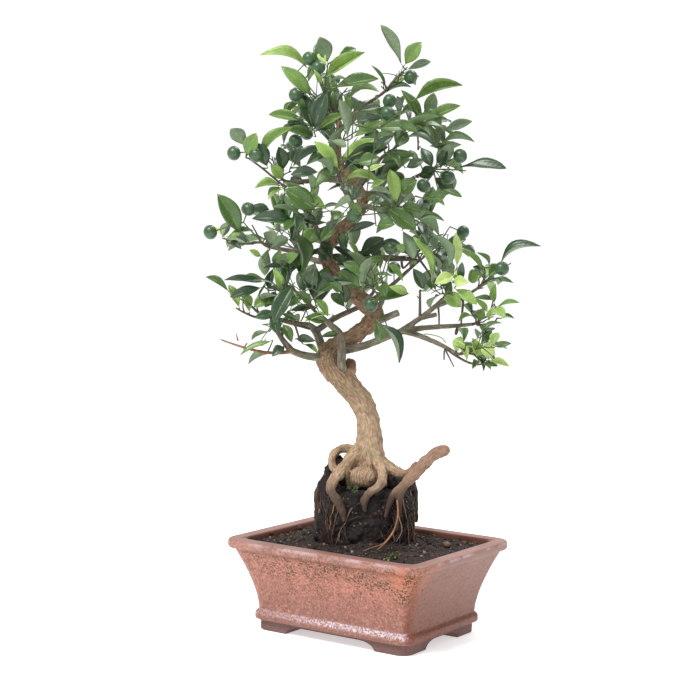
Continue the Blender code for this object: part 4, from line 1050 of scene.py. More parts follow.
def glaze_finish():
    """Salmon iron-speckled glaze that breaks to orange at the near corner, with a painted sheen over the foot
    band.
    """
    made, tree, shader = new_finish("speckled_glaze", 0.42, 0.08, 0.32)
    places = object_places(tree)
    x, y, z = split(tree, add_node(tree, "ShaderNodeVectorMath", {
        0: places, 1: tuple(-part * MM for part in POT_FROM_CENTRE)}).outputs["Vector"])
    face_x, face_y, face_z = split(tree, add_node(tree, "ShaderNodeNewGeometry").outputs["Normal"])
    long_side = band(tree, face_y, -0.35, -0.8)
    # Painted shade: faces turned to the short side are painted darker, for the shade that side stands in.
    shaded_short_side = band(tree, face_x, 0.35, 0.8)
    patches = mottle(tree, 26.0, 0.3, 0.7)
    grain = mottle(tree, 480.0, 0.44, 0.60)
    # Painted shade: the grain on the short side is darker and less pale.
    grain_colour = blend_colour(tree, shaded_short_side, (0.16, 0.060, 0.038), (0.075, 0.027, 0.015))
    pale_share = calculate(tree, "SUBTRACT", 1.0, times(tree, shaded_short_side, 0.8))
    pale_grain = times(tree, mottle(tree, 380.0, 0.52, 0.66), pale_share)
    dust = specks(tree, 480.0, 0.55, 0.42)

    # The near corner, where the glaze ran thin.
    corner = calculate(tree, "SUBTRACT", x, y)
    near_corner = band(tree, corner, 0.142, 0.184)
    orange = times(
        tree, band(tree, corner, 0.136, 0.18), band(tree, z, 0.05, 0.077, 0.35, 1.0),
        band(tree, noise_value(tree, places, 60.0), 0.3, 0.6, 0.5, 0.95))

    # Iron specks: fine ones all over, larger ragged ones high on the long side and by the corner.
    crowd = times(tree, band(tree, z, 0.028, 0.064), band(tree, x, -0.10, -0.01, 0.5, 1.0), long_side)
    crowd = calculate(tree, "ADD", crowd, times(tree, near_corner, 1.4))
    crowd = times(tree, crowd, band(tree, noise_value(tree, places, 75.0, 3.0), 0.38, 0.56))
    bold = times(tree, specks(tree, 560.0, 0.72, 0.46), crowd)
    worms = times(tree, specks(tree, 380.0, 0.6, 0.42), crowd)
    spread = times(tree, specks(tree, 520.0, 0.16, 0.36), band(tree, z, 0.012, 0.05, 0.4, 0.9))
    dark = calculate(tree, "MAXIMUM", calculate(tree, "MAXIMUM", bold, worms), spread)
    dark = times(tree, dark, 0.92)

    # A painted pale lavender sheen for the light reflected off the foot band, broken by the specks, and a
    # painted highlight along the lip's edge.
    painted_sheen = times(
        tree, band(tree, z, 0.0125, 0.0155), band(tree, z, 0.0235, 0.0195),
        band(tree, face_z, -0.05, 0.35), band(tree, x, -0.085, 0.02, 0.3, 1.0), long_side,
        band(tree, noise_value(tree, places, 620.0, 3.0), 0.34, 0.68))
    painted_lip_highlight = times(
        tree, band(tree, z, 0.0805, 0.0828), band(tree, z, 0.0849, 0.0836),
        band(tree, noise_value(tree, places, 45.0, 4.0), 0.42, 0.62), 0.55)
    painted_sheen = calculate(tree, "MAXIMUM", painted_sheen, painted_lip_highlight)

    # The painted shadow line in the groove under the lip, the lip's outer face and top, and the inner wall.
    painted_lip_shadow = times(tree, band(tree, z, 0.0725, 0.0752), band(tree, z, 0.0785, 0.0765), 0.6)
    lip_face = times(tree, band(tree, z, 0.0775, 0.079), 0.45)
    on_top = times(tree, band(tree, z, 0.0842, 0.0848), band(tree, face_z, 0.6, 0.9))
    reach_x, reach_y = (
        calculate(tree, "SUBTRACT", calculate(tree, "ABSOLUTE", axis, 0.0), (side / 2 - 12.4) * MM)
        for axis, side in ((x, RIM_LENGTH), (y, RIM_WIDTH)))
    inside = times(
        tree, band(tree, calculate(tree, "MAXIMUM", reach_x, reach_y), 0.0006, -0.0006),
        band(tree, z, 0.07, 0.072))
    bare = band(tree, z, 0.0118, 0.0085)
    clay = blend_colour(tree, patches, (0.15, 0.080, 0.070), (0.215, 0.125, 0.118))
    clay = blend_colour(tree, times(tree, grain, 0.4), clay, (0.10, 0.05, 0.038))

    base = ramp(tree, band(tree, z, 0.015, 0.075), [
        (0.0, (0.29, 0.135, 0.108)), (0.35, (0.40, 0.170, 0.132)), (0.75, (0.54, 0.215, 0.158)),
        (1.0, (0.50, 0.195, 0.138))])
    base = layered(
        tree, base,
        # Painted shade over the short side.
        (shaded_short_side, (0.19, 0.050, 0.022)),
        (times(tree, patches, 0.42), (0.25, 0.095, 0.068)),
        (times(tree, grain, 0.6), grain_colour),
        (times(tree, pale_grain, 0.4), (0.62, 0.32, 0.24)),
        (times(tree, dust, 0.5), (0.17, 0.085, 0.055)),
        (times(tree, orange, 0.8), (0.56, 0.150, 0.045)),
        (dark, (0.075, 0.045, 0.018)),
        # Painted sheen and highlight: the pale lavender reflection of the light.
        (times(tree, painted_sheen, 0.9), (0.74, 0.66, 0.74)),
        # Painted shadow under the lip.
        (painted_lip_shadow, (0.16, 0.062, 0.036)),
        (lip_face, (0.33, 0.190, 0.172)),
        (on_top, blend_colour(tree, patches, (0.35, 0.195, 0.165), (0.24, 0.125, 0.105))),
        (inside, blend_colour(tree, patches, (0.155, 0.065, 0.05), (0.26, 0.11, 0.085))),
        (bare, clay),
        *((band(tree, away_from(tree, places, spot), size * 1.15 * MM, size * 0.6 * MM), PINHOLE_COLOUR)
          for spot, size in PINHOLES))
    link_colour(tree, shader, base)
    rough = calculate(tree, "ADD", times(tree, patches, 0.12), 0.38)
    rough = calculate(tree, "ADD", rough, times(tree, bare, 0.45))
    rough = calculate(tree, "ADD", rough, times(tree, dark, 0.2))
    tree.links.new(rough, shader.inputs["Roughness"])
    pits = calculate(tree, "SUBTRACT", noise_value(tree, places, 420.0, 5.0, 0.6), dark)
    give_bump(tree, shader, pits, 0.3, 0.0006)
    return made


def on_short_side(across, down):
    """The place on the pot's short side, in the object's own frame, that shows at a point of the frame."""
    eye, ray = TREE @ EYE, TREE.to_3x3() @ sight(across, down)
    place, height = eye, POT_HEIGHT / 2
    for _ in range(6):
        wall = (POT_FROM_CENTRE[0] + RIM_LENGTH / 2 - wall_inset(height)) * MM
        place = eye + ray * ((wall - eye.x) / ray.x)
        height = place.z / MM
    return place


# Burst bubbles in the glaze: their colour, and where each shows and its size in mm.
PINHOLE_COLOUR = (0.012, 0.008, 0.007)
PINHOLES = [(on_short_side(422.5, 590.5), 1.5), (on_short_side(444.0, 616.0), 1.0)]


def add_pot():
    pot = rounded_block("pot_body", POT_PROFILE, POT_CORNER, 8)
    gap_y = RIM_WIDTH / 2 - FOOT_INSET - FOOT_LENGTH
    gap_x = RIM_LENGTH / 2 - FOOT_INSET - FOOT_LENGTH
    cut_with(pot, foot_gap("gap_along", RIM_LENGTH, gap_y))
    cross = foot_gap("gap_across", RIM_WIDTH, gap_x)
    cross.rotation_euler.z = math.pi / 2
    settle(cross)
    cut_with(pot, cross)
    for side in (-1, 1):
        bpy.ops.mesh.primitive_cylinder_add(
            vertices=24, radius=DRAIN_DIAMETER / 2 * MM, depth=2 * FLOOR_TOP * MM,
            location=(side * DRAIN_SPACING / 2 * MM, 0.0, FLOOR_TOP / 2 * MM))
        drain = bpy.context.object
        settle(drain)
        cut_with(pot, drain)
    pot.matrix_world = POT
    settle(pot)
    select_only(pot)
    bpy.ops.object.shade_smooth_by_angle(angle=math.radians(42.0))
    pot.data.materials.clear()
    pot.data.materials.append(glaze_finish())
    finish_piece(pot, "pot_glaze", "pot")


# The soil and the block of roots

def crumble(piece, amounts, seed_shift):
    """Roughens a mesh along its normals with noise of several sizes (scale per metre, height in mm)."""
    points = points_of(piece.data)
    normals = read_vertices(piece.data, "normal")
    heights = np.zeros(len(points))
    for scale, amount in amounts:
        heights += [amount * MM * noise.noise(Vector(point) * scale + Vector(seed_shift)) for point in points]
    set_points(piece.data, points + normals * heights[:, None])


def add_soil():
    """The soil inside the pot, rising a little towards the block, with a crumbled top."""
    profile = [
        (FLOOR_TOP + GAP, inner_inset(FLOOR_TOP, GAP)), (45.0, inner_inset(45.0, GAP)),
        (72.0, inner_inset(72.0, GAP)), (SOIL_EDGE_HEIGHT - 1.0, LIP_INNER_INSET + GAP + 0.4),
        (SOIL_EDGE_HEIGHT - 0.3, LIP_INNER_INSET + 1.6),
        ((SOIL_EDGE_HEIGHT + SOIL_HEIGHT) / 2, SOIL_RISE_INSETS[0]), (SOIL_HEIGHT - 0.6, SOIL_RISE_INSETS[1]),
    ]
    soil = rounded_block("soil_surface", profile, 9.0, 6)
    soil.matrix_world = POT
    settle(soil)
    even_skin(soil, SOIL_VOXEL)
    points = points_of(soil.data)
    top = points[:, 2] > SOIL_TOP_FROM * MM
    roughness = np.array([
        1.6 * noise.noise(Vector(p) * 45.0) + 1.5 * noise.noise(Vector(p) * 170.0)
        + 1.0 * abs(noise.noise(Vector(p) * 420.0)) if up else 0.0
        for p, up in zip(points, top)])
    points[:, 2] += roughness * MM * top
    middle = placed(BALL_MIDDLE + (0.0,))
    away = np.hypot(
        (points[:, 0] - middle[0]) / (BALL_SIDE / 2 * MM), (points[:, 1] - middle[1]) / (BALL_DEPTH / 2 * MM))
    mound = MOUND * MM * np.exp(-((np.maximum(away - 0.9, 0.0) / MOUND_SPREAD) ** 2))
    points[:, 2] += np.where(top, mound, 0.0)
    set_points(soil.data, points)
    coat(soil, EARTH)
    finish_piece(soil, "potting_soil", "soil_bed")
    return soil


SOIL_VOXEL = 1.35
SOIL_TOP_FROM = 70.0
# The soil's rise against the root block: its height, and its width as a share of the block's.
MOUND = 6.0
MOUND_SPREAD = 0.28


def earth_finish(name, damp):
    """Near-black damp peat with brown crumbs and pale bits, darker the damper it is."""
    made, tree, shader = new_finish(name, 0.85 - 0.3 * damp, specular=0.3)
    light = 1.0 - damp
    base = ramp(tree, mottle(tree, 90.0, 0.3, 0.7), [
        (at, tuple(part * light for part in tint)) for at, tint in (
            (0.0, (0.010, 0.0078, 0.0085)), (0.55, (0.024, 0.0175, 0.0175)), (1.0, (0.055, 0.038, 0.034)))])
    crumbs = ramp(tree, mottle(tree, 420.0, 0.35, 0.68), [
        (0.0, (0.006, 0.005, 0.005)), (1.0, (0.07 * light, 0.050 * light, 0.044 * light))])
    link_colour(tree, shader, layered(
        tree, base, (0.5, crumbs), (specks(tree, 430.0, 0.07 * light, 0.32), (0.22, 0.15, 0.09)),
        (specks(tree, 300.0, 0.03, 0.36), (0.11, 0.035, 0.02))))
    give_bump(tree, shader, noise_value(tree, object_places(tree), 900.0, 6.0, 0.7), 0.7, 0.0012)
    return made


def block_rim(turn):
    """How far the root block's foot reaches to the side and in depth at a turn, before its wobble."""
    return tuple(
        math.copysign(abs(part) ** (2 / BALL_SQUARENESS), part) * side / 2
        for part, side in ((math.cos(turn), BALL_SIDE), (math.sin(turn), BALL_DEPTH)))


def block_outline(count):
    """The root block's outline, as the solid's own, wobble and all."""
    rng = random.Random(SEED)
    wobbles = [rng.uniform(-BALL_WOBBLE, BALL_WOBBLE) for _ in range(BALL_SIDES)]
    ring = []
    for step in range(count):
        exact = step / count * BALL_SIDES
        index, share = int(exact), exact % 1
        wobble = wobbles[index % BALL_SIDES] * (1 - share) + wobbles[(index + 1) % BALL_SIDES] * share
        ring.append([part * (1 + wobble) for part in block_rim(math.tau * step / count)])
    return ring


def block_share(height):
    """How wide the root block is at a height, as a share of its foot."""
    return float(np.interp(height, [ring[0] for ring in BALL_RINGS], [ring[1] for ring in BALL_RINGS]))


BLOCK_SIDES = 80
BLOCK_LEVELS = 24
BLOCK_VOXEL = 1.2
# Relief on the block and on the clods, by the noise's scale per metre and its height in mm.
BLOCK_CRUMBLE = ((38.0, 3.2), (95.0, 3.0), (230.0, 2.2), (600.0, 1.1))
CLOD_CRUMBLE = ((60.0, 4.0), (140.0, 3.2), (330.0, 1.8), (700.0, 0.9))
# How far the block's skin starts inside the solid's, to leave room for its relief.
BLOCK_INSET = 1.4


def add_root_block():
    """The bared block of soil and roots that the tree stands on."""
    bpy.ops.mesh.primitive_circle_add(vertices=BLOCK_SIDES, radius=1.0, fill_type="NGON")
    block = bpy.context.object
    block.name = "root_mass"
    for vert, (x, y) in zip(block.data.vertices, block_outline(BLOCK_SIDES)):
        vert.co = (*((part - math.copysign(BLOCK_INSET, part)) * MM for part in (x, y)), 0.0)
    bpy.ops.object.mode_set(mode="EDIT")
    bpy.ops.mesh.select_all(action="SELECT")
    heights = list(np.linspace(BALL_BOTTOM, BALL_TOP - BLOCK_INSET, BLOCK_LEVELS))
    draw_up([
        (low, high, *(block_share(high) / block_share(low),) * 2) for low, high in zip(heights, heights[1:])])
    block.matrix_world = TREE @ Matrix.Translation(Vector((*BALL_MIDDLE, BALL_BOTTOM)) * MM)
    settle(block)
    even_skin(block, BLOCK_VOXEL)
    crumble(block, BLOCK_CRUMBLE, (3.0, 7.0, 1.0))
    coat(block, DAMP_EARTH)
    finish_piece(block, "potting_soil", "root_ball")
    return block


# Clods of soil: the middle and the three sizes of each.
CLODS = [
    ((-28.0, 7.0, 142.0), (26.0, 28.0, 34.0)), ((-36.0, 0.0, 130.0), (20.0, 40.0, 30.0)),
    ((20.0, 12.0, 134.0), (42.0, 38.0, 24.0)),
]


def add_clods():
    """Clods of dark soil caught among the roots on top of the block."""
    clods = join_pieces([lump(middle, sizes) for middle, sizes in CLODS], "soil_clods")
    even_skin(clods, BLOCK_VOXEL)
    crumble(clods, CLOD_CRUMBLE, (1.0, 4.0, 2.0))
    coat(clods, DAMP_EARTH)
    finish_piece(clods, "potting_soil")


def pebble_model(seed):
    """A rough grain or stone, about one unit across."""
    bpy.ops.mesh.primitive_ico_sphere_add(subdivisions=1, radius=0.5)
    grain = bpy.context.object
    for vert in grain.data.vertices:
        vert.co *= 1.0 + 0.55 * noise.noise(vert.co * 2.4 + Vector((seed, 0.0, 0.0)))
    return model_of(grain)


def scatter_on(piece, count, rng, lowest_up, low):
    """Random places, by area, on a piece's faces that look up enough and lie high enough."""
    mesh = piece.data
    faces = [face for face in mesh.polygons if face.normal.z > lowest_up and face.center.z > low * MM]
    areas = np.cumsum([face.area for face in faces])
    for _ in range(count):
        face = faces[int(np.searchsorted(areas, rng.uniform(0, areas[-1])))]
        shares = [rng.random() for _ in face.vertices]
        total = sum(shares)
        corners = [mesh.vertices[corner].co for corner in face.vertices]
        spot = sum((place * share / total for place, share in zip(corners, shares)), Vector())
        yield spot, face.normal.copy()


# Each kind of grain: its colour, its roughness and how common it is.
GRAIN_TINTS = {
    "peat_crumb": ((0.020, 0.014, 0.012), 0.9, 46),
    "brown_crumb": ((0.060, 0.036, 0.024), 0.9, 22),
    "bark_chip": ((0.105, 0.058, 0.036), 0.85, 12),
    "tan_bit": ((0.26, 0.17, 0.105), 0.85, 4),
    "grey_grit": ((0.25, 0.22, 0.19), 0.8, 2),
    "rust_bit": ((0.11, 0.045, 0.03), 0.85, 2),
    "stone_brown": ((0.17, 0.105, 0.065), 0.8, 1),
}


def plain_finish(name, colour, roughness, variation=0.25, scale=700.0, **more):
    """A finish of one hue, mottled darker and lighter, with a fine grain."""
    made, tree, shader = new_finish(name, roughness, **more)
    low = tuple(part * (1 - variation) for part in colour)
    high = tuple(min(part * (1 + variation), 1.0) for part in colour)
    link_colour(tree, shader, blend_colour(tree, mottle(tree, scale), low, high))
    give_bump(tree, shader, noise_value(tree, object_places(tree), scale * 1.6), 0.3, 0.0003)
    return made


# How far a grain's middle stands out, as a share of its size, and the share of the block's paler grains
# that are plain peat. Then the grains on the soil and on the block: how many, their sizes in mm, how far
# a face has to look up and how high it has to lie for one.
GRAIN_PROUD = 0.12
BLOCK_PLAIN = 0.75
GRAINS = ((1700, (1.0, 4.6), 0.3, 70.0), (900, (0.8, 2.8), -0.6, 82.0))


def add_grains(soil, block):
    """Crumbs, chips and grit over the soil and on the block."""
    rng = random.Random("grains")
    models = [pebble_model(seed * 3.7) for seed in range(5)]
    tints = list(GRAIN_TINTS)
    weights = [GRAIN_TINTS[tint][2] for tint in tints]
    copies = []
    for piece, (count, sizes, lowest_up, low) in zip((soil, block), GRAINS):
        for spot, normal in scatter_on(piece, count, rng, lowest_up, low):
            size = sizes[0] + (sizes[1] - sizes[0]) * rng.random() ** 2.6
            angle = rng.uniform(0, math.tau)
            turn = Matrix.Rotation(angle, 4, Vector([rng.uniform(-1, 1) for _ in range(3)]).normalized())
            flat = Matrix.Diagonal((1.0, rng.uniform(0.6, 1.0), rng.uniform(0.45, 0.9), 1.0))
            rest = Matrix.Translation(spot + normal * size * GRAIN_PROUD * MM)
            place = rest @ turn @ flat @ Matrix.Scale(size * MM, 4)
            tint = rng.choices(range(len(tints)), weights)[0]
            if piece is block and tint > 1 and rng.random() < BLOCK_PLAIN:
                tint = 0
            copies.append(moved_copy(rng.choice(models), place, tint))
    for across, down, height, size, tint in STONES:
        turn = Matrix.Rotation(rng.uniform(0, math.tau), 4, "Z") @ Matrix.Diagonal((1.0, 0.8, 0.7, 1.0))
        place = Matrix.Translation(placed(on_level(across, down, height))) @ turn @ Matrix.Scale(size * MM, 4)
        copies.append(moved_copy(models[0], place, tints.index(tint)))
    finishes = [plain_finish(tint, *GRAIN_TINTS[tint][:2]) for tint in tints]
    finish_piece(joined("soil_crumbs", copies, finishes), "potting_soil")


# Larger stones and clods on the soil: where each shows, its height and size, and its tint.
STONES = [
    (447, 545, 83.5, 10.0, "stone_brown"), (464, 543, 83.0, 6.0, "bark_chip"),
    (407, 537, 86.5, 6.5, "stone_brown"), (366, 541, 87.0, 5.5, "stone_brown"),
    (289, 541, 83.0, 6.0, "bark_chip"), (300, 528, 83.5, 6.5, "brown_crumb"),
    (384, 562, 84.0, 5.0, "bark_chip"), (425, 553, 84.0, 5.0, "tan_bit"),
    (272, 533, 82.5, 5.0, "brown_crumb"), (476, 548, 82.5, 5.0, "brown_crumb"),
    (352, 552, 85.0, 4.0, "grey_grit"),
]

# Each kind of fine root, in the same way.
FIBRE_TINTS = {
    "dark_fibre": ((0.024, 0.014, 0.012), 0.7, 9),
    "red_brown_fibre": ((0.070, 0.032, 0.021), 0.7, 5),
    "tan_fibre": ((0.22, 0.13, 0.08), 0.7, 1),
    "orange_fibre": ((0.30, 0.14, 0.06), 0.6, 0.6),
}


def on_block(turn, height, out=0.0):
    """A place on the root block's side, at a turn and a height, standing out by some mm."""
    across, along = block_rim(turn)
    reach = block_share(height) * (1 - (BLOCK_INSET - out) / math.hypot(across, along))
    return BALL_MIDDLE[0] + across * reach, BALL_MIDDLE[1] + along * reach, height


def add_fibres():
    """Fine roots that hang down the block's sides and run out over the soil."""
    rng = random.Random("fibres")
    copies = []
    tints = list(FIBRE_TINTS)
    weights = [FIBRE_TINTS[tint][2] for tint in tints]
    for _ in range(FIBRES):
        turn = rng.uniform(0, math.tau)
        top = rng.uniform(*FIBRE_TOPS)
        bottom = max(top - rng.uniform(*FIBRE_DROPS), FIBRE_LOWEST)
        width = rng.choice(FIBRE_WIDTHS)
        rings = []
        drift, lean = 0.0, rng.uniform(-0.05, 0.05)
        for step in range(FIBRE_STEPS + 1):
            t = step / FIBRE_STEPS
            drift += rng.uniform(-0.035, 0.035) + lean
            out = 0.9 + 1.6 * noise.noise(Vector((turn * 9, t * 3, top)))
            rings.append((*on_block(turn + drift, top + (bottom - top) * t, out), width * (1 - 0.55 * t)))
        copies.append(tube_copy(smooth_path(rings, 2), 5, rng.choices(range(len(tints)), weights)[0]))
    for kind, width, rings in LOOSE_ROOTS:
        rings = [(*place, width * (1 - 0.5 * step / len(rings))) for step, place in enumerate(rings)]
        copies.append(tube_copy(smooth_path(rings, 4), 6, kind))
    finishes = [plain_finish(tint, *FIBRE_TINTS[tint][:2], 0.35) for tint in tints]
    finish_piece(joined("fine_roots", copies, finishes), "root_bark")


FIBRES = 210
FIBRE_TOPS = (96, 131)
FIBRE_DROPS = (14, 52)
FIBRE_LOWEST = 80.0
FIBRE_WIDTHS = (0.5, 0.6, 0.8, 1.1, 1.5)
FIBRE_STEPS = 9


# The wood

def limb_curve(name, rings):
    """A tapering limb drawn through its rings, as a mesh in the object's frame."""
    curve = bpy.data.curves.new(name, "CURVE")
    curve.dimensions = "3D"
    curve.bevel_depth = 1.0
    curve.bevel_resolution = 4
    curve.use_fill_caps = True
    line = curve.splines.new("POLY")
    line.points.add(len(rings) - 1)
    for point, ring in zip(line.points, rings):
        point.co = (*placed(ring), 1.0)
        point.radius = ring[3] / 2 * MM
    limb = bpy.data.objects.new(name, curve)
    bpy.context.scene.collection.objects.link(limb)
    select_only(limb)
    bpy.ops.object.convert(target="MESH")
    return bpy.context.object


def lump(middle, sizes):
    """A swelling on the wood."""
    bpy.ops.mesh.primitive_uv_sphere_add(segments=24, ring_count=16, radius=0.5)
    swelling = bpy.context.object
    grown = Matrix.Diagonal((*sizes, 1.0)) @ Matrix.Scale(MM, 4)
    swelling.matrix_world = TREE @ Matrix.Translation(Vector(middle) * MM) @ grown
    settle(swelling)
    return swelling


def join_pieces(pieces, name):
    select_only(pieces[0])
    for piece in pieces:
        piece.select_set(True)
    if len(pieces) > 1:
        bpy.ops.object.join()
    bpy.context.object.name = name
    return bpy.context.object


class Grain:
    """Where the wood's middle runs, so that a place on the bark knows which way the limb grows."""

    def __init__(self, runs):
        self.spots, self.ways, self.lengths, self.widths = [], [], [], []
        for run in runs:
            path = smooth_path(run, 8)
            length = 0.0
            for before, ring in zip([path[0], *path], path):
                length += (Vector(ring[:3]) - Vector(before[:3])).length
                self.spots.append(Vector(ring[:3]))
                self.lengths.append(length)
                self.widths.append(ring[3])
            ends = [path[0], *path, path[-1]]
            for before, after in zip(ends, ends[2:]):
                self.ways.append((Vector(after[:3]) - Vector(before[:3])).normalized())
        self.tree = KDTree(len(self.spots))
        for index, spot in enumerate(self.spots):
            self.tree.insert(spot, index)
        self.tree.balance()

    def at(self, place):
        """The grain's coordinates at a place, two across the limb and one along it, and the nearest ring."""
        _, index, _ = self.tree.find(place)
        way = self.ways[index]
        away = place - self.spots[index]
        along = away.dot(way)
        across = away - way * along
        length = (self.lengths[index] + along) * GRAIN_STRETCH
        return Vector((across.x, across.y + across.z * 0.6, length)), index


GRAIN_STRETCH = 0.24
FULL_RELIEF_WIDTH = 14.0


def give_bark(piece, grain, relief, furrows, wrinkles, knots):
    """Real relief in the bark: furrows along the limb, finer wrinkles round it and low knots."""
    points = points_of(piece.data)
    normals = read_vertices(piece.data, "normal")
    inverse = TREE.inverted()
    grains, heights = [], []
    for point in points:
        place = (inverse @ Vector(point)) / MM
        where, index = grain.at(place)
        grains.append(where)
        thick = min(grain.widths[index] / FULL_RELIEF_WIDTH, 1.0)
        height = -furrows * (1 - min(abs(noise.noise(where * 0.34)) * 3.2, 1.0))
        height += furrows * 0.7 * noise.noise(where * 0.8 + Vector((5.0, 0.0, 0.0)))
        height += wrinkles * noise.noise(Vector((where.x * 0.3, where.y * 0.3, where.z * 7.0)))
        height += wrinkles * 0.8 * noise.noise(place * 1.1)
        height += knots * noise.noise(place * 0.13 + Vector((0.0, 9.0, 0.0)))
        height += knots * 0.55 * noise.noise(place * 0.32 + Vector((4.0, 0.0, 0.0)))
        heights.append(height * relief * (0.35 + 0.65 * thick) * MM)
    set_points(piece.data, points + normals * np.array(heights)[:, None])
    store_places(piece.data, "grain", np.array(grains, np.float32) * MM)


def wood_piece(name, runs, lumps, skin, finish):
    """Limbs and swellings grown together into one skin, with bark on it."""
    voxel, *bark = skin
    pieces = [limb_curve(f"{name}_{index}", smooth_path(run, 6)) for index, run in enumerate(runs)]
    pieces += [lump(*LUMPS[which]) for which in lumps]
    wood = join_pieces(pieces, name)
    even_skin(wood, voxel, smoothing=6)
    give_bark(wood, Grain(runs), *bark)
    coat(wood, finish)
    return wood


# How each wood's skin is made: its voxel in mm, and its bark's relief, furrows, wrinkles and knots.
TRUNK_SKIN = (0.85, 1.0, 0.42, 0.26, 1.3)
BOUGH_SKIN = (0.62, 0.6, 0.4, 0.25, 0.25)
BARE_SKIN = (0.42, 0.5, 0.3, 0.3, 0.1)


def finish_bark(tree, shader, base, fine, strength, distance):
    link_colour(tree, shader, base)
    height = calculate(tree, "ADD", fine["Furrow"], times(tree, fine["Wrinkle"], 0.5))
    give_bump(tree, shader, height, strength, distance)


def bark_finish(name, stops, moss):
    """Bark in long streaks, with browner patches, thin dark furrows and a little green film."""
    made, tree, shader = new_finish(name, 0.75, specular=0.35)
    grain = use_group(tree, BARK_GRAIN, {"Scale": 420.0}).outputs
    fine = use_group(tree, BARK_GRAIN, {"Scale": 1500.0}).outputs
    brown = tuple(part * share for part, share in zip(stops[1][1], (0.62, 0.5, 0.42)))
    base = layered(
        tree, ramp(tree, band(tree, grain["Furrow"], 0.3, 0.7), stops),
        (times(tree, mottle(tree, 55.0, 0.4, 0.64), 0.62), brown),
        (times(tree, mottle(tree, 80.0, 0.54, 0.7), moss), (0.16, 0.17, 0.07)),
        (times(tree, band(tree, fine["Furrow"], 0.46, 0.34), 0.6), (0.05, 0.032, 0.022)),
        (times(tree, band(tree, grain["Wrinkle"], 0.6, 0.72), 0.35), (0.40, 0.32, 0.24)))
    finish_bark(tree, shader, base, fine, 0.55, 0.0007)
    return made


def trunk_finish():
    """The trunk's pale bark: tan below, browner and redder higher up and on its right."""
    made, tree, shader = new_finish("pale_trunk_bark", 0.72, specular=0.35)
    places = object_places(tree)
    x, _, z = split(tree, places)
    streaks = band(tree, use_group(tree, BARK_GRAIN, {"Scale": 760.0}).outputs["Furrow"], 0.32, 0.68)
    fine = use_group(tree, BARK_GRAIN, {"Scale": 2000.0}).outputs
    pale = ramp(tree, streaks, [
        (0.0, (0.26, 0.165, 0.098)), (0.4, (0.39, 0.265, 0.165)), (1.0, (0.54, 0.405, 0.275))])
    dusky = ramp(tree, streaks, [
        (0.0, (0.090, 0.050, 0.027)), (0.45, (0.195, 0.118, 0.066)), (1.0, (0.33, 0.225, 0.132))])
    redder = ramp(tree, streaks, [
        (0.0, (0.12, 0.06, 0.038)), (0.5, (0.27, 0.15, 0.095)), (1.0, (0.45, 0.31, 0.21))])
    swollen = away_from(tree, places, placed(LUMPS["bulb"][0]))
    ridges = calculate(tree, "SINE", times(tree, x, 2600.0), 0.0)
    ragged = times(tree, noise_value(tree, places, 300.0), 0.005)
    wavy = calculate(tree, "ADD", z, times(tree, noise_value(tree, places, 90.0), 0.02))
    base = layered(
        tree, pale,
        (band(tree, z, 0.165, 0.29), dusky),
        (times(tree, mottle(tree, 42.0, 0.48, 0.62), band(tree, z, 0.205, 0.15, 0.25, 0.85)), redder),
        (times(tree, mottle(tree, 70.0, 0.52, 0.68), 0.5), (0.17, 0.15, 0.075)),
        (times(tree, band(tree, fine["Furrow"], 0.45, 0.33), 0.55), (0.09, 0.055, 0.034)),
        (band(tree, x, 0.034, 0.048, 0.0, 0.6), (0.225, 0.120, 0.088)),
        (times(tree, band(tree, ridges, 0.0, 0.9), band(tree, swollen, 0.0145, 0.0115, 0.0, 0.5)),
         (0.16, 0.085, 0.045)))
    for spot, reach, tint in WOUND:
        away = calculate(tree, "ADD", away_from(tree, places, placed(spot)), ragged)
        base = blend_colour(tree, band(tree, away, (reach + 3.5) * MM, (reach + 1.5) * MM), base, tint)
    base = blend_colour(tree, band(tree, wavy, 0.162, 0.137, 0.0, 0.92), base, (0.045, 0.024, 0.017))
    finish_bark(tree, shader, base, fine, 0.6, 0.0008)
    return made


def add_trunk():
    runs = [TRUNK, *TRUNK_ROOTS.values(), *(run for runs in ROOTS.values() for run in runs)]
    trunk = wood_piece("trunk_and_roots", runs, list(LUMPS), TRUNK_SKIN, trunk_finish())
    finish_piece(trunk, "trunk_bark", "trunk", *ROOTS)


# The old wound's broken wood, brown above, and pale where it was cut: each part's place, reach and colour.
WOUND = [
    (seen(352, 364, -14.0), 6.0, (0.15, 0.075, 0.045)), (seen(351, 376, -15.0), 3.2, (0.52, 0.37, 0.23)),
    (seen(346, 371, -15.0), 2.0, (0.10, 0.05, 0.03)),
]


def add_boughs():
    names = [name for name in BOUGHS if name != "bare_twig"]
    bough_bark = bark_finish("bough_bark", [
        (0.0, (0.075, 0.066, 0.045)), (0.45, (0.155, 0.14, 0.10)), (1.0, (0.30, 0.28, 0.22))], 0.5)
    runs = [BOUGHS[name][1] for name in names]
    boughs = wood_piece("boughs", runs, [], BOUGH_SKIN, bough_bark)
    finish_piece(boughs, "bough_bark", *names)
    red_bark = bark_finish("bare_twig_bark", [
        (0.0, (0.13, 0.055, 0.03)), (0.45, (0.26, 0.12, 0.07)), (1.0, (0.42, 0.26, 0.17))], 0.1)
    spurs = [
        [(*seen(*place, BARE_TWIG_DEPTH), width) for place, width in zip(spur, (1.8, 0.9))] for spur in SPURS]
    bare = wood_piece("bare_twig_wood", [BOUGHS["bare_twig"][1], *spurs], [], BARE_SKIN, red_bark)
    finish_piece(bare, "bough_bark", "bare_twig")


# The spurs on the bare twig, by where each leaves it and ends in the frame.
BARE_TWIG_DEPTH = -38.0
SPURS = [
    ((262, 346), (266, 338)), ((247, 343), (243, 350)), ((238, 341), (236, 333)), ((276, 348), (272, 355)),
]


# The crown

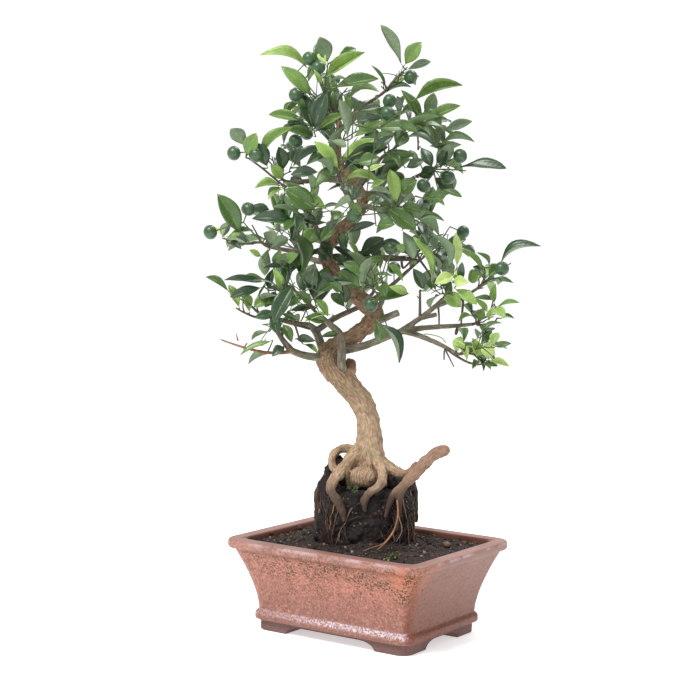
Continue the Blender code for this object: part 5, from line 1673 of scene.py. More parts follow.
# Each shade of leaf: its colour and roughness, and how far its underside turns to the common pale one.
LEAF_FINISHES = {
    "dark": ((0.021, 0.055, 0.013), 0.42),
    "bluish": ((0.034, 0.074, 0.032), 0.36),
    "mid": ((0.066, 0.138, 0.026), 0.44),
    "fresh": ((0.135, 0.245, 0.046), 0.45),
    "light": ((0.27, 0.42, 0.10), 0.48),
    "young": ((0.46, 0.60, 0.19), 0.5),
}
UNDERSIDES = {"dark": 0.5, "bluish": 0.66, "mid": 0.55, "fresh": 0.45, "light": 0.3, "young": 0.2}
UNDERSIDE_COLOUR = (0.22, 0.31, 0.165)
RIB_COLOUR = (0.30, 0.40, 0.14)
# A blade's rows of points along it, and where its lines of points run across it.
BLADE_ROWS = 9
BLADE_LINES = (-1.0, -0.62, -0.1, 0.1, 0.62, 1.0)


def blade_finish(name, colour, roughness, veined=True):
    """A leaf's skin: waxy, a little lighter along its side veins, mottled darker."""
    made, tree, shader = new_finish(name, roughness, coat=0.12 if veined else 0.0)
    where = add_node(tree, "ShaderNodeAttribute", attribute_name="blade").outputs["Vector"]
    across, along, _ = split(tree, where)
    slant = calculate(
        tree, "SUBTRACT", times(tree, along, 9.0), times(tree, calculate(tree, "ABSOLUTE", across, 0.0), 1.6))
    wave = calculate(tree, "SUBTRACT", calculate(tree, "FRACT", slant, 0.0), 0.5)
    wave = calculate(tree, "ABSOLUTE", wave, 0.0)
    dark = tuple(part * 0.68 for part in colour)
    pale = tuple(part * 1.35 + 0.006 for part in colour)
    layers = [(times(tree, mottle(tree, 330.0, 0.5, 0.75), 0.5), pale)]
    if veined:
        layers.append((times(tree, band(tree, wave, 0.085, 0.0), 0.4), pale))
    base = blend_colour(tree, mottle(tree, 95.0, 0.3, 0.7), dark, colour)
    link_colour(tree, shader, layered(tree, base, *layers))
    fine = times(tree, noise_value(tree, object_places(tree), 700.0), 0.3)
    give_bump(tree, shader, calculate(tree, "ADD", wave, fine), 0.16 if veined else 0.1, 0.0006)
    return made


def blade_half_width(t):
    """A blade's half width at a share of its length, as a share of its widest."""
    return math.sin(math.pi * min(max(t, 0.0), 1.0) ** BLADE_FULLNESS) ** BLADE_ROUNDNESS


BLADE_FULLNESS = 1.12
BLADE_ROUNDNESS = 0.78
BLADE_TIP = 0.035


def blade_model(arch, fold, twist, curl, wave, seed):
    """One leaf, a unit long and wide: a folded, arched blade with a raised midrib, closed all round."""
    columns = len(BLADE_LINES)
    bpy.ops.mesh.primitive_grid_add(x_subdivisions=columns - 1, y_subdivisions=BLADE_ROWS, size=1.0)
    blade = bpy.context.object
    phase = random.Random(seed).uniform(0, math.tau)
    for vert in blade.data.vertices:
        row = (vert.co.y + 0.5) ** 0.92
        across = BLADE_LINES[round((vert.co.x + 0.5) * (columns - 1))]
        half = max(0.5 * blade_half_width(row), BLADE_TIP * (0.3 if row > 0.5 else 1.0))
        on_rib = abs(across) < 0.2
        if on_rib:
            across *= 0.35 + 0.65 * (1 - row)
        x = half * across
        bend = arch * math.sin(math.pi * row) - curl * row**2
        ripple = math.sin(row * 11 + phase + (3 if across > 0 else 0))
        lift = fold * abs(across) * half + wave * abs(across) ** 2 * ripple
        turn = twist * (row - 0.3)
        rise = 0.012 * (1 - abs(across)) * (1 - row) if on_rib else 0.0
        vert.co = (
            x * math.cos(turn) - lift * math.sin(turn) * 0.5, row,
            bend + lift * math.cos(turn) + x * math.sin(turn) + rise)
    for face in blade.data.polygons:
        middle = sum(abs(blade.data.vertices[corner].co.x) for corner in face.vertices) / 4
        on_rib = face.index % (columns - 1) == (columns - 1) // 2
        face.material_index = 1 if middle < 0.032 and on_rib else 0
    thicken = blade.modifiers.new("thickness", "SOLIDIFY")
    thicken.thickness = BLADE_THICKNESS
    thicken.offset = -1.0
    thicken.material_offset = 2
    thicken.material_offset_rim = 0
    for _ in range(4):
        blade.data.materials.append(None)
    apply_modifiers(blade)
    points, faces, kinds = model_of(blade)
    places = []
    for index in range(len(points)):
        row, column = divmod(index % (columns * (BLADE_ROWS + 1)), columns)
        places.append((BLADE_LINES[column], row / BLADE_ROWS, 0.0))
    return points, faces, kinds, places


BLADE_THICKNESS = 0.012
# Each kind of blade: its arch, fold, twist, curl and wave.
BLADE_KINDS = [
    (0.05, 0.30, 0.10, 0.04, 0.006), (0.09, 0.45, -0.15, 0.10, 0.008), (0.03, 0.20, 0.25, 0.0, 0.010),
    (0.12, 0.35, 0.05, 0.16, 0.006), (0.06, 0.60, -0.25, 0.06, 0.012), (0.02, 0.40, 0.18, 0.12, 0.009),
    (0.08, 0.15, -0.08, 0.20, 0.007),
]


def blade_matrix(base, tip, face_up, width):
    """Where a blade's model goes to lie between two places, facing one way."""
    along, across, out = leaf_frame(base, tip, face_up)
    length = (tip - base).length
    turn = Matrix((across * width, along * length, out * length)).transposed().to_4x4()
    return Matrix.Translation(base) @ turn


class Foliage:
    """Gathers leaves by shade, and twigs and leaf stalks, until they are joined."""

    def __init__(self):
        self.models = [blade_model(*kind, seed) for seed, kind in enumerate(BLADE_KINDS)]
        self.leaves = {shade: [] for shade in LEAF_FINISHES}
        self.twigs = []
        self.rng = random.Random("foliage")

    def leaf(self, base, tip, face_up, width, shade, stalk=True):
        """A leaf on its short stalk. The blade starts a little out from the stalk's foot."""
        start = base + (tip - base) * STALK_SHARE if stalk else base
        if stalk:
            foot = (*base, STALK_WIDTHS[0])
            middle = (*(base.lerp(start, 0.5) + UP * 0.15), STALK_WIDTHS[1])
            self.twigs.append(tube_copy([foot, middle, (*start, STALK_WIDTHS[1])], 4, 1))
        model = self.models[self.rng.randrange(len(self.models))]
        place = TREE @ Matrix.Scale(MM, 4) @ blade_matrix(start, tip, face_up, width)
        self.leaves[shade].append((model, place))

    def twig(self, rings, kind, sides, steps):
        """A twig through rings, green, pale or brown."""
        self.twigs.append(tube_copy(smooth_path(rings, steps), sides, kind))

    def finish(self):
        """The pieces: the leaves of each shade, and all the twigs, which stand for the masses' solids."""
        for shade, leaves in self.leaves.items():
            if not leaves:
                continue
            colour, roughness = LEAF_FINISHES[shade]
            under = tuple(a + (b - a) * UNDERSIDES[shade] for a, b in zip(colour, UNDERSIDE_COLOUR))
            rib = tuple(a * 0.6 + b * 0.4 for a, b in zip(colour, RIB_COLOUR))
            finishes = [
                blade_finish(f"leaf_{shade}", colour, roughness),
                blade_finish(f"rib_{shade}", rib, roughness + 0.05, veined=False),
                blade_finish(f"underside_{shade}", under, 0.6),
                blade_finish(f"under_rib_{shade}", tuple(part * 1.25 for part in under), 0.6, veined=False),
            ]
            copies = [moved_copy(model[:3], place) for model, place in leaves]
            piece = joined(f"leaves_{shade}", copies, finishes)
            store_places(piece.data, "blade", np.concatenate([model[3] for model, _ in leaves]))
            finish_piece(piece, "foliage")
        green_wood = plain_finish("green_twig", (0.055, 0.085, 0.025), 0.6)
        stalks = plain_finish("leaf_stalk", (0.16, 0.22, 0.06), 0.55)
        brown_wood = plain_finish("brown_twig", (0.085, 0.065, 0.045), 0.75)
        twigs = joined("twigs", self.twigs, [green_wood, stalks, brown_wood])
        finish_piece(twigs, "foliage", *MASSES)


STALK_SHARE = 0.1
STALK_WIDTHS = (1.1, 0.8)


def shade_for(rng, spot):
    """A spray's shade, drawn at random: darker low, fresher and lighter higher up, and lighter and younger at
    the outer right.
    """
    high = (spot.z - 260) / 280
    draws = {
        "dark": 3.0 - 1.2 * high, "bluish": 2.0, "mid": 4.2, "fresh": 1.3 + 0.7 * high,
        "light": 0.35 + 0.4 * high + (0.5 if spot.x > 60 else 0.0),
        "young": 0.06 + (0.35 if spot.x > 70 and high < 0.35 else 0.0),
    }
    return rng.choices(list(draws), [max(weight, 0.05) for weight in draws.values()])[0]


# The share of leaves whose shade is not their spray's.
ODD_SHADE = 0.25
# How much narrower and longer the rule's leaves are drawn than their solids.
BLADE_NARROW = 0.68
BLADE_LONGER = 1.1
SIDE_TWIG_SPOTS = (0.45, 0.8)
SIDE_TWIG_LENGTHS = (12.0, 24.0)
SIDE_TWIG_LEAVES = (2, 4)
SIDE_LEAF_SIZES = (0.6, 0.92)
SIDE_LEAF_WIDTHS = (0.36, 0.46)
# The share of the leaves near the front that is left out, and how far a leaf has to be from its
# mass's middle, towards the viewer or away, to count as in front or behind.
CROWD_DROP = 0.25
CROWD_FROM = 4
BEHIND_FROM = 9


def carrier_of(spot, shoots):
    """Which of a mass's shoots a place lies on."""
    def apart(rings):
        return min((Vector(ring[:3]) - spot).length for ring in smooth_path(rings, 2))
    return min(range(len(shoots)), key=lambda step: apart(shoots[step]))


def lies_behind(mass, spot):
    """Whether a place lies behind the leaves that the tree shows."""
    return mass.startswith("back") or spot.y > MASSES[mass][1][1] + BEHIND_FROM


def choose_leaves(mass, grown, fruits):
    """Those of a mass's leaves that keep the view, each with its shoot, and the shoots that are needed."""
    rng = random.Random(f"choose {mass}")
    shoots = [rings for rings, _ in grown["shoots"]]
    kept, needed = [], set()
    for base, tip, face_up, width in grown["leaves"]:
        tip = base + (tip - base) * BLADE_LONGER
        crowding = not mass.startswith("back") and base.y < MASSES[mass][1][1] - CROWD_FROM
        if crowding and rng.random() < CROWD_DROP:
            continue
        if not keeps_view(base, tip, fruits, lies_behind(mass, base)):
            continue
        shoot = carrier_of(base, shoots)
        needed.add(shoot)
        kept.append((base, tip, face_up, width, shoot))
    for _, _, stalk in grown["fruits"]:
        needed.add(carrier_of(Vector(stalk[0][:3]), shoots))
    for step, rings in enumerate(shoots):
        if mass.startswith("back") or keeps_view(Vector(rings[1][:3]), Vector(rings[-1][:3]), []):
            needed.add(step)
    return kept, [shoots[step] for step in sorted(needed)]


def dress_mass(mass, grown, kept, shoots, foliage, fruits):
    """A mass's own wood and leaves, and finer side twigs with more leaves."""
    rng = random.Random(f"dress {mass}")
    hidden = mass.startswith("back")
    foliage.twig([(*ring[:3], ring[3] * 1.05) for ring in grown["stem"]], 2, 6, 4)
    for rings in shoots:
        foliage.twig(rings, 0, 5, 4)
    shades = {}
    for base, tip, face_up, width, shoot in kept:
        shade = shades.setdefault(shoot, shade_for(rng, base))
        if rng.random() < ODD_SHADE:
            shade = shade_for(rng, base)
        foliage.leaf(base, tip, face_up, width * BLADE_NARROW, shade)
    for rings in shoots:
        for share in SIDE_TWIG_SPOTS:
            if rng.random() < (0.2 if hidden else 0.5):
                continue
            spot, ahead = place_on(rings, share)
            side = (Matrix.Rotation(rng.uniform(0, math.tau), 3, ahead) @ ahead.orthogonal()).normalized()
            way = (ahead * 0.7 + side + UP * rng.uniform(-0.25, 0.35)).normalized()
            length = rng.uniform(*SIDE_TWIG_LENGTHS)
            tip = spot + way * length
            if depth_in(mass, tip) > 1.0 or not keeps_view(spot, tip, fruits):
                continue
            foliage.twig([(*spot, 1.2), (*(spot.lerp(tip, 0.5) + UP * 0.6), 1.0), (*tip, 0.8)], 0, 4, 2)
            shade = shade_for(rng, tip)
            count = rng.randint(*SIDE_TWIG_LEAVES)
            turn = rng.uniform(0, math.tau)
            for step in range(count):
                turn += math.radians(TURN_DEG)
                where = spot.lerp(tip, 1.0 - 0.55 * step / count)
                splay = math.radians(rng.uniform(35, 65) if step else rng.uniform(5, 25))
                across = (Matrix.Rotation(turn, 3, way) @ way.orthogonal()).normalized()
                out = (way * math.cos(splay) + across * math.sin(splay)).normalized()
                out.z += rng.uniform(-0.3, 0.2)
                out.normalize()
                size = MASSES[mass][5] * rng.uniform(*SIDE_LEAF_SIZES)
                end = where + out * size
                if depth_in(mass, end) > 1.06 or not keeps_view(where, end, fruits, lies_behind(mass, where)):
                    continue
                face_up = Vector((rng.uniform(-0.4, 0.4), rng.uniform(-0.6, 0.2), 1.0)) + way * 0.3
                foliage.leaf(where, end, face_up, size * rng.uniform(*SIDE_LEAF_WIDTHS), shade)


def fruit_model():
    """One small citrus: a little flattened, dimpled, with its calyx at the top."""
    bpy.ops.mesh.primitive_uv_sphere_add(segments=20, ring_count=14, radius=0.5)
    fruit = bpy.context.object
    for vert in fruit.data.vertices:
        away = math.hypot(vert.co.x, vert.co.y)
        vert.co.z *= 0.93
        depth, width = (-0.05, 0.1) if vert.co.z > 0 else (0.03, 0.08)
        vert.co.z += depth * math.exp(-((away / width) ** 2))
        vert.co += vert.co.normalized() * 0.008 * noise.noise(vert.co * 9.0)
    return model_of(fruit)


def calyx_model():
    """The five-lobed green cap that holds the fruit to its stalk."""
    bpy.ops.mesh.primitive_circle_add(vertices=20, radius=0.13, fill_type="NGON")
    cap = bpy.context.object
    for index, vert in enumerate(cap.data.vertices):
        reach = 1.0 + 0.35 * math.cos(math.tau * index / 4)
        vert.co = (vert.co.x * reach, vert.co.y * reach, 0.425 - 0.02 * reach)
    bpy.ops.object.mode_set(mode="EDIT")
    bpy.ops.mesh.select_all(action="SELECT")
    bpy.ops.mesh.extrude_region_move(TRANSFORM_OT_translate={"value": (0.0, 0.0, 0.05)})
    bpy.ops.transform.resize(value=(0.45, 0.45, 1.0), center_override=(0.0, 0.0, 0.45))
    bpy.ops.mesh.select_all(action="SELECT")
    bpy.ops.mesh.normals_make_consistent(inside=False)
    bpy.ops.object.mode_set(mode="OBJECT")
    return model_of(cap)


def fruit_finish():
    made, tree, shader = new_finish("green_rind", 0.36, 0.15)
    base = blend_colour(tree, mottle(tree, 90.0, 0.3, 0.7), (0.026, 0.066, 0.028), (0.045, 0.105, 0.038))
    base = blend_colour(tree, times(tree, specks(tree, 1300.0, 0.8, 0.3), 0.35), base, (0.075, 0.15, 0.055))
    link_colour(tree, shader, base)
    give_bump(tree, shader, noise_value(tree, object_places(tree), 1500.0, 2.0), 0.35, 0.0004)
    return made


def add_fruits(fruits):
    """Fruits on their stalks, each given as its middle, its diameter and its stalk's rings."""
    body, cap = fruit_model(), calyx_model()
    copies = []
    for middle, diameter, stalk in fruits:
        up = (Vector(stalk[0][:3]) - Vector(middle)).normalized()
        turn = up.to_track_quat("Z", "Y").to_matrix().to_4x4()
        place = TREE @ Matrix.Scale(MM, 4) @ Matrix.Translation(middle) @ turn @ Matrix.Scale(diameter, 4)
        copies += [moved_copy(body, place, 0), moved_copy(cap, place, 1)]
        start, end = Vector(stalk[0][:3]), Vector(middle) + up * diameter * 0.42
        copies.append(tube_copy([(*start, 1.2), (*start.lerp(end, 0.5), 1.1), (*end, 1.3)], 5, 2))
    finishes = [
        fruit_finish(), plain_finish("fruit_calyx", (0.10, 0.15, 0.05), 0.6),
        plain_finish("fruit_stalk", (0.08, 0.11, 0.04), 0.6)]
    finish_piece(joined("fruits", copies, finishes), "foliage")


# The leaves that the tree shows: the frame's place of each one's foot and tip, its width there, and
# its shade. "grey" leaves turn their undersides to the viewer.
SHOWN_LEAVES = [
    # The top and upper left.
    (311, 69, 263, 50, 9, "light"), (328, 64, 321, 36, 15, "grey"), (327, 67, 318, 53, 7, "young"),
    (323, 78, 364, 52, 13, "light"), (337, 57, 357, 47, 9, "mid"), (314, 98, 284, 66, 13, "fresh"),
    (320, 84, 315, 71, 5, "light"), (332, 88, 378, 78, 11, "mid"), (329, 82, 347, 76, 4, "grey"),
    (307, 121, 268, 113, 10, "fresh"), (314, 131, 301, 93, 15, "dark"),
    (314, 132, 326, 92, 16, "bluish"), (348, 140, 341, 98, 10, "grey"), (338, 111, 334, 90, 12, "mid"),
    (352, 113, 345, 96, 7, "fresh"), (316, 131, 344, 113, 8, "fresh"),
    (312, 131, 287, 121, 11, "bluish"), (316, 137, 286, 128, 9, "mid"),
    (259, 161, 289, 125, 9, "fresh"), (246, 158, 256, 133, 14, "fresh"),
    (247, 147, 231, 127, 14, "grey"), (268, 168, 257, 143, 14, "bluish"),
    (284, 171, 279, 147, 13, "dark"), (340, 171, 315, 141, 11, "light"),
    (340, 160, 373, 138, 12, "light"), (343, 160, 387, 146, 13, "dark"),
    (290, 168, 326, 146, 9, "bluish"), (352, 138, 382, 120, 9, "fresh"),
    (353, 123, 382, 117, 8, "bluish"), (375, 129, 413, 126, 9, "mid"), (320, 128, 333, 141, 9, "dark"),
    (330, 140, 347, 146, 7, "grey"), (305, 112, 299, 98, 8, "mid"),
    # The upper right.
    (403, 67, 381, 25, 9, "grey"), (404, 66, 421, 42, 14, "fresh"), (406, 70, 431, 61, 8, "grey"),
    (387, 87, 371, 65, 4, "mid"), (384, 93, 411, 85, 4, "mid"), (411, 101, 462, 84, 12, "fresh"),
    (399, 116, 415, 104, 7, "mid"), (423, 124, 403, 90, 10, "mid"), (424, 122, 460, 105, 9, "fresh"),
    (440, 134, 431, 108, 11, "mid"), (443, 131, 472, 121, 10, "grey"), (439, 143, 474, 139, 4, "mid"),
    (420, 130, 434, 122, 9, "mid"), (447, 166, 448, 142, 13, "grey"),
    (420, 146, 432, 166, 11, "bluish"), (455, 167, 506, 168, 7, "bluish"),
    (396, 118, 376, 110, 13, "mid"), (392, 118, 418, 132, 8, "mid"), (396, 149, 406, 131, 14, "mid"),
    (400, 112, 397, 96, 8, "bluish"), (356, 112, 381, 106, 6, "dark"), (378, 164, 413, 153, 12, "mid"),
    (420, 163, 409, 150, 6, "mid"), (356, 164, 379, 157, 12, "mid"), (440, 168, 446, 150, 10, "dark"),
    (430, 146, 455, 153, 6, "dark"), (405, 168, 424, 160, 9, "dark"), (455, 196, 438, 178, 12, "dark"),
    (438, 189, 462, 197, 5, "mid"), (426, 198, 448, 193, 7, "mid"), (424, 199, 446, 204, 5, "fresh"),
    (374, 151, 392, 136, 9, "dark"), (418, 178, 436, 168, 12, "dark"),
    # The left.
    (242, 236, 218, 194, 18, "mid"), (226, 239, 210, 226, 4, "young"), (222, 238, 230, 221, 9, "grey"),
    (226, 237, 253, 230, 4, "mid"), (227, 239, 240, 234, 4, "light"), (230, 240, 240, 247, 6, "dark"),
    (297, 221, 253, 217, 12, "bluish"), (318, 220, 284, 227, 7, "grey"),
    (283, 186, 255, 187, 5, "light"), (283, 187, 266, 195, 4, "mid"), (284, 188, 268, 199, 4, "light"),
    (318, 212, 285, 189, 20, "mid"), (329, 211, 301, 191, 10, "fresh"), (331, 211, 362, 195, 7, "grey"),
    (320, 172, 291, 174, 10, "bluish"), (284, 180, 271, 165, 12, "light"),
    (303, 166, 338, 157, 7, "mid"), (304, 185, 291, 177, 10, "dark"), (305, 248, 317, 228, 16, "fresh"),
    (324, 246, 281, 278, 12, "bluish"), (317, 261, 299, 290, 17, "grey"),
    (329, 264, 321, 288, 13, "mid"), (300, 229, 294, 242, 8, "dark"), (268, 247, 263, 276, 12, "grey"),
    (279, 243, 265, 233, 13, "grey"), (270, 249, 288, 237, 11, "grey"),
    (262, 257, 249, 250, 6, "light"), (272, 265, 284, 291, 9, "light"),
    (286, 262, 298, 254, 10, "fresh"), (284, 267, 264, 267, 5, "dark"),
    (266, 282, 224, 280, 8, "bluish"), (266, 280, 242, 276, 8, "fresh"), (230, 292, 206, 275, 7, "mid"),
    (275, 268, 280, 250, 8, "mid"), (268, 290, 272, 270, 8, "bluish"), (312, 288, 314, 268, 12, "dark"),
    (300, 218, 316, 222, 9, "dark"), (318, 226, 322, 242, 9, "dark"), (276, 290, 270, 304, 9, "mid"),
    # The lower left.
    (263, 287, 230, 297, 10, "bluish"), (240, 309, 229, 284, 9, "light"),
    (250, 313, 244, 292, 10, "light"), (270, 296, 254, 307, 11, "fresh"),
    (276, 303, 264, 305, 7, "mid"), (295, 282, 273, 322, 16, "bluish"),
    (277, 312, 255, 318, 10, "bluish"), (272, 314, 277, 332, 11, "bluish"),
    (282, 323, 292, 341, 9, "mid"), (270, 331, 250, 339, 5, "grey"), (273, 340, 240, 355, 6, "fresh"),
    (271, 353, 248, 363, 4, "grey"), (284, 346, 273, 355, 9, "bluish"),
    (295, 339, 314, 340, 8, "bluish"), (303, 344, 318, 352, 4, "fresh"),
    (288, 311, 313, 306, 7, "bluish"), (303, 317, 326, 320, 10, "mid"), (301, 321, 282, 314, 6, "mid"),
    (311, 300, 353, 281, 8, "bluish"), (346, 308, 331, 293, 10, "mid"),
    (346, 305, 343, 283, 10, "dark"), (362, 290, 339, 271, 13, "mid"), (315, 298, 328, 316, 8, "fresh"),
    (300, 305, 292, 290, 10, "fresh"), (334, 315, 305, 317, 4, "young"), (340, 334, 322, 336, 6, "mid"),
    (285, 305, 300, 298, 9, "mid"), (312, 306, 300, 292, 9, "mid"), (283, 340, 276, 325, 9, "bluish"),
    (318, 292, 332, 286, 9, "mid"),
    # The middle.
    (397, 206, 390, 169, 13, "light"), (384, 206, 416, 229, 18, "mid"),
    (402, 229, 415, 259, 13, "grey"), (374, 206, 393, 222, 12, "grey"), (376, 226, 394, 224, 11, "mid"),
    (358, 256, 384, 238, 15, "dark"), (401, 206, 421, 211, 10, "mid"), (401, 193, 416, 180, 15, "mid"),
    (340, 181, 381, 179, 6, "light"), (369, 171, 382, 165, 5, "young"), (367, 191, 392, 193, 5, "grey"),
    (347, 233, 375, 223, 7, "bluish"), (333, 222, 339, 209, 11, "mid"), (347, 247, 341, 233, 9, "mid"),
    (358, 262, 334, 246, 8, "bluish"), (366, 274, 344, 262, 10, "mid"),
    (359, 260, 350, 240, 5, "light"), (433, 234, 427, 208, 9, "mid"), (416, 220, 444, 219, 4, "mid"),
    (433, 284, 421, 236, 7, "light"), (438, 252, 428, 230, 9, "grey"), (450, 273, 436, 231, 5, "grey"),
    (441, 246, 467, 238, 9, "mid"), (362, 292, 368, 254, 9, "grey"), (386, 262, 403, 280, 6, "fresh"),
    (372, 277, 391, 273, 3, "mid"), (374, 277, 378, 286, 3, "light"), (372, 301, 409, 293, 11, "mid"),
    (387, 286, 408, 293, 8, "light"), (376, 320, 381, 341, 13, "mid"),
    (377, 320, 402, 361, 7, "bluish"), (386, 180, 372, 186, 5, "fresh"),
    (352, 200, 360, 186, 9, "dark"), (362, 215, 350, 203, 9, "mid"), (420, 232, 428, 244, 10, "dark"),
    (397, 244, 404, 252, 7, "fresh"), (366, 262, 384, 258, 7, "mid"), (345, 184, 352, 196, 9, "dark"),
    (372, 206, 384, 196, 9, "dark"), (337, 234, 346, 249, 8, "bluish"), (329, 253, 350, 268, 9, "dark"),
    (321, 240, 332, 257, 9, "dark"), (334, 228, 321, 241, 9, "mid"), (330, 262, 319, 249, 10, "dark"),
    (336, 282, 320, 274, 9, "bluish"), (340, 218, 328, 230, 8, "bluish"),
    (343, 292, 330, 283, 9, "mid"),
    # The right.
    (457, 268, 457, 234, 9, "young"), (447, 281, 447, 257, 14, "grey"),
    (461, 284, 462, 262, 7, "bluish"), (485, 273, 463, 250, 6, "fresh"),
    (485, 274, 467, 279, 13, "fresh"), (490, 267, 479, 252, 4, "mid"), (488, 278, 500, 264, 12, "mid"),
    (497, 265, 537, 241, 5, "bluish"), (487, 282, 513, 282, 4, "mid"),
    (456, 275, 435, 283, 11, "young"), (456, 283, 462, 270, 10, "young"),
    (452, 281, 467, 282, 10, "young"), (454, 288, 477, 304, 10, "light"),
    (442, 292, 461, 306, 14, "light"), (424, 291, 414, 269, 11, "bluish"),
    (440, 287, 449, 282, 7, "dark"), (472, 296, 488, 312, 6, "light"), (493, 300, 476, 297, 5, "mid"),
    (494, 304, 495, 284, 7, "fresh"), (496, 307, 519, 302, 4, "fresh"),
    (494, 308, 505, 317, 10, "light"), (502, 318, 514, 318, 3, "mid"), (479, 322, 483, 308, 9, "fresh"),
    (489, 320, 493, 307, 6, "light"), (456, 354, 460, 335, 10, "light"),
    (468, 363, 455, 340, 6, "young"), (480, 359, 473, 338, 10, "light"),
    (488, 361, 490, 341, 13, "young"), (491, 347, 498, 332, 9, "light"),
    (481, 352, 462, 351, 5, "young"), (478, 347, 460, 345, 7, "mid"), (495, 347, 510, 343, 6, "mid"),
    (490, 360, 509, 366, 7, "young"), (480, 364, 498, 366, 4, "mid"), (484, 364, 491, 369, 3, "mid"),
    (464, 300, 470, 290, 7, "fresh"),
]

# Where the paper shows through the crown: the middle of each gap and its radius, in the frame.
OPEN_SPOTS = [
    (414, 302, 11), (402, 310, 12), (430, 322, 9), (448, 317, 8), (420, 345, 18), (390, 372, 40),
    (395, 285, 9), (383, 270, 8), (332, 197, 8), (305, 333, 9), (332, 322, 6), (350, 322, 5),
    (258, 232, 9), (235, 262, 14), (245, 180, 22), (262, 205, 9), (473, 287, 8), (448, 215, 16),
    (470, 215, 25), (420, 262, 6), (238, 325, 22), (500, 235, 30), (372, 101, 5), (420, 95, 10),
    (360, 65, 12), (300, 60, 14), (390, 60, 14), (375, 40, 16), (275, 95, 16), (250, 110, 22),
    (445, 60, 30), (480, 100, 30), (490, 145, 22), (480, 185, 20), (512, 300, 12), (520, 330, 20),
    (430, 360, 20), (472, 332, 7), (215, 315, 25), (200, 250, 20), (212, 210, 15), (260, 372, 22),
    (300, 370, 18), (216, 165, 20),
]

# How far to the side and how high the crown reaches, by points round it in the frame.
CROWN_EDGE = [
    (262, 48), (300, 30), (325, 32), (345, 44), (368, 48), (380, 24), (425, 38), (434, 60), (430, 78),
    (466, 82), (464, 104), (476, 120), (478, 140), (462, 150), (508, 166), (460, 176), (466, 198),
    (440, 208), (446, 222), (470, 236), (480, 248), (540, 238), (502, 270), (516, 282), (500, 290),
    (522, 302), (508, 322), (500, 330), (514, 346), (512, 370), (470, 372), (440, 350), (405, 362),
    (385, 345), (345, 335), (320, 355), (280, 360), (245, 366), (250, 335), (226, 300), (202, 272),
    (228, 270), (250, 248), (220, 250), (204, 232), (214, 190), (235, 190), (262, 210), (252, 190),
    (272, 178), (226, 162), (224, 125), (262, 135), (285, 120), (264, 110), (290, 88), (280, 62),
]


def inside_edge(across, down):
    """Whether a place of the frame lies within the crown's edge."""
    inside = False
    for (x0, y0), (x1, y1) in zip(CROWN_EDGE, CROWN_EDGE[1:] + CROWN_EDGE[:1]):
        if (y0 > down) != (y1 > down) and across < x0 + (x1 - x0) * (down - y0) / (y1 - y0):
            inside = not inside
    return inside


SHOWN_FEET = np.array([leaf[:2] for leaf in SHOWN_LEAVES], float)
SHOWN_WAYS = np.array([leaf[2:4] for leaf in SHOWN_LEAVES], float) - SHOWN_FEET
SHOWN_REACH = np.array([leaf[4] for leaf in SHOWN_LEAVES], float) * 0.45 + 1.0


def beside(spot, flat):
    """How far apart two places show, in mm, whatever their depth."""
    return math.hypot(spot.x - flat.x, spot.z - flat.z)


def hides_shown(across, down):
    """Whether a place of the frame lies on one of the leaves that the tree shows."""
    away = np.array((across, down)) - SHOWN_FEET
    share = np.clip((away * SHOWN_WAYS).sum(1) / (SHOWN_WAYS**2).sum(1), 0.0, 1.0)
    apart = np.linalg.norm(away - SHOWN_WAYS * share[:, None], axis=1)
    return bool((apart < SHOWN_REACH).any())


def keeps_view(base, tip, fruits, hidden=True):
    """Whether a leaf or twig leaves the gaps, the edge, the shown leaves and the fruits as they are seen."""
    for share in (0.35, 0.7, 1.0):
        spot = base.lerp(tip, share)
        across, down = shown_at(spot)
        if not hidden and share < 1.0 and hides_shown(across, down):
            return False
        if not inside_edge(across, down):
            return False
        if any(math.hypot(across - x, down - y) < radius for x, y, radius in OPEN_SPOTS):
            return False
        for middle in fruits:
            fruit_across, fruit_down = shown_at(middle)
            if spot.y < middle.y + 4 and math.hypot(across - fruit_across, down - fruit_down) < FRUIT_ROOM:
                return False
    return True


FRUIT_ROOM = 9.0
# How much of the tree, in mm, one step of the frame shows.
STEP_SHOWN = VIEW_DISTANCE / VIEW_FOCUS / MM
# Leaves this far beside the trunk still grow from its bark, and those that cross it stay this far before it.
BARK_ROOM = 2.0
BEFORE_TRUNK = 3.0
# How far a leaf's tip leans towards the viewer or away, as a share of what it shows. A leaf that shows
# shorter than SHORT_LEAF leans more.
TIP_LEAN = (0.15, 0.35)
SHORT_LEAF = 26.0
SHORT_LEAN = 0.6
TIP_TO_VIEWER = 0.7
NARROWEST_SHOWN = 0.27


def bark_before(flat):
    """The place on the trunk's near side that shows where another place does, if the trunk is there."""
    for low, high in zip(TRUNK[CROWN_TRUNK:], TRUNK[CROWN_TRUNK + 1:]):
        share = (flat.z - low[2]) / (high[2] - low[2])
        if 0.0 <= share <= 1.0:
            x, y, _, width = (a + (b - a) * share for a, b in zip(low, high))
            radius = width / 2
            axis = Vector((x, y, flat.z))
            aside = flat.x - axis.x
            if abs(aside) < radius + BARK_ROOM:
                aside = min(max(aside, -0.8 * radius), 0.8 * radius)
                return axis + Vector((aside, -math.sqrt(radius**2 - aside**2) + 0.8, 0.0))
    return None


def depth_of_shown(foot, tip, flat, near):
    """How deep a shown leaf starts, by its wood but before the trunk, and whether it crosses the trunk."""
    crossed = [
        bark_before(seen(*(a + (b - a) * share for a, b in zip(foot, tip)), 0.0))
        for share in (0.3, 0.6, 0.9)]
    fronts = [place.y - BEFORE_TRUNK for place in crossed if place is not None]
    return min([near.y - min(beside(near, flat) * 0.3, 6.0), *fronts]), bool(fronts)


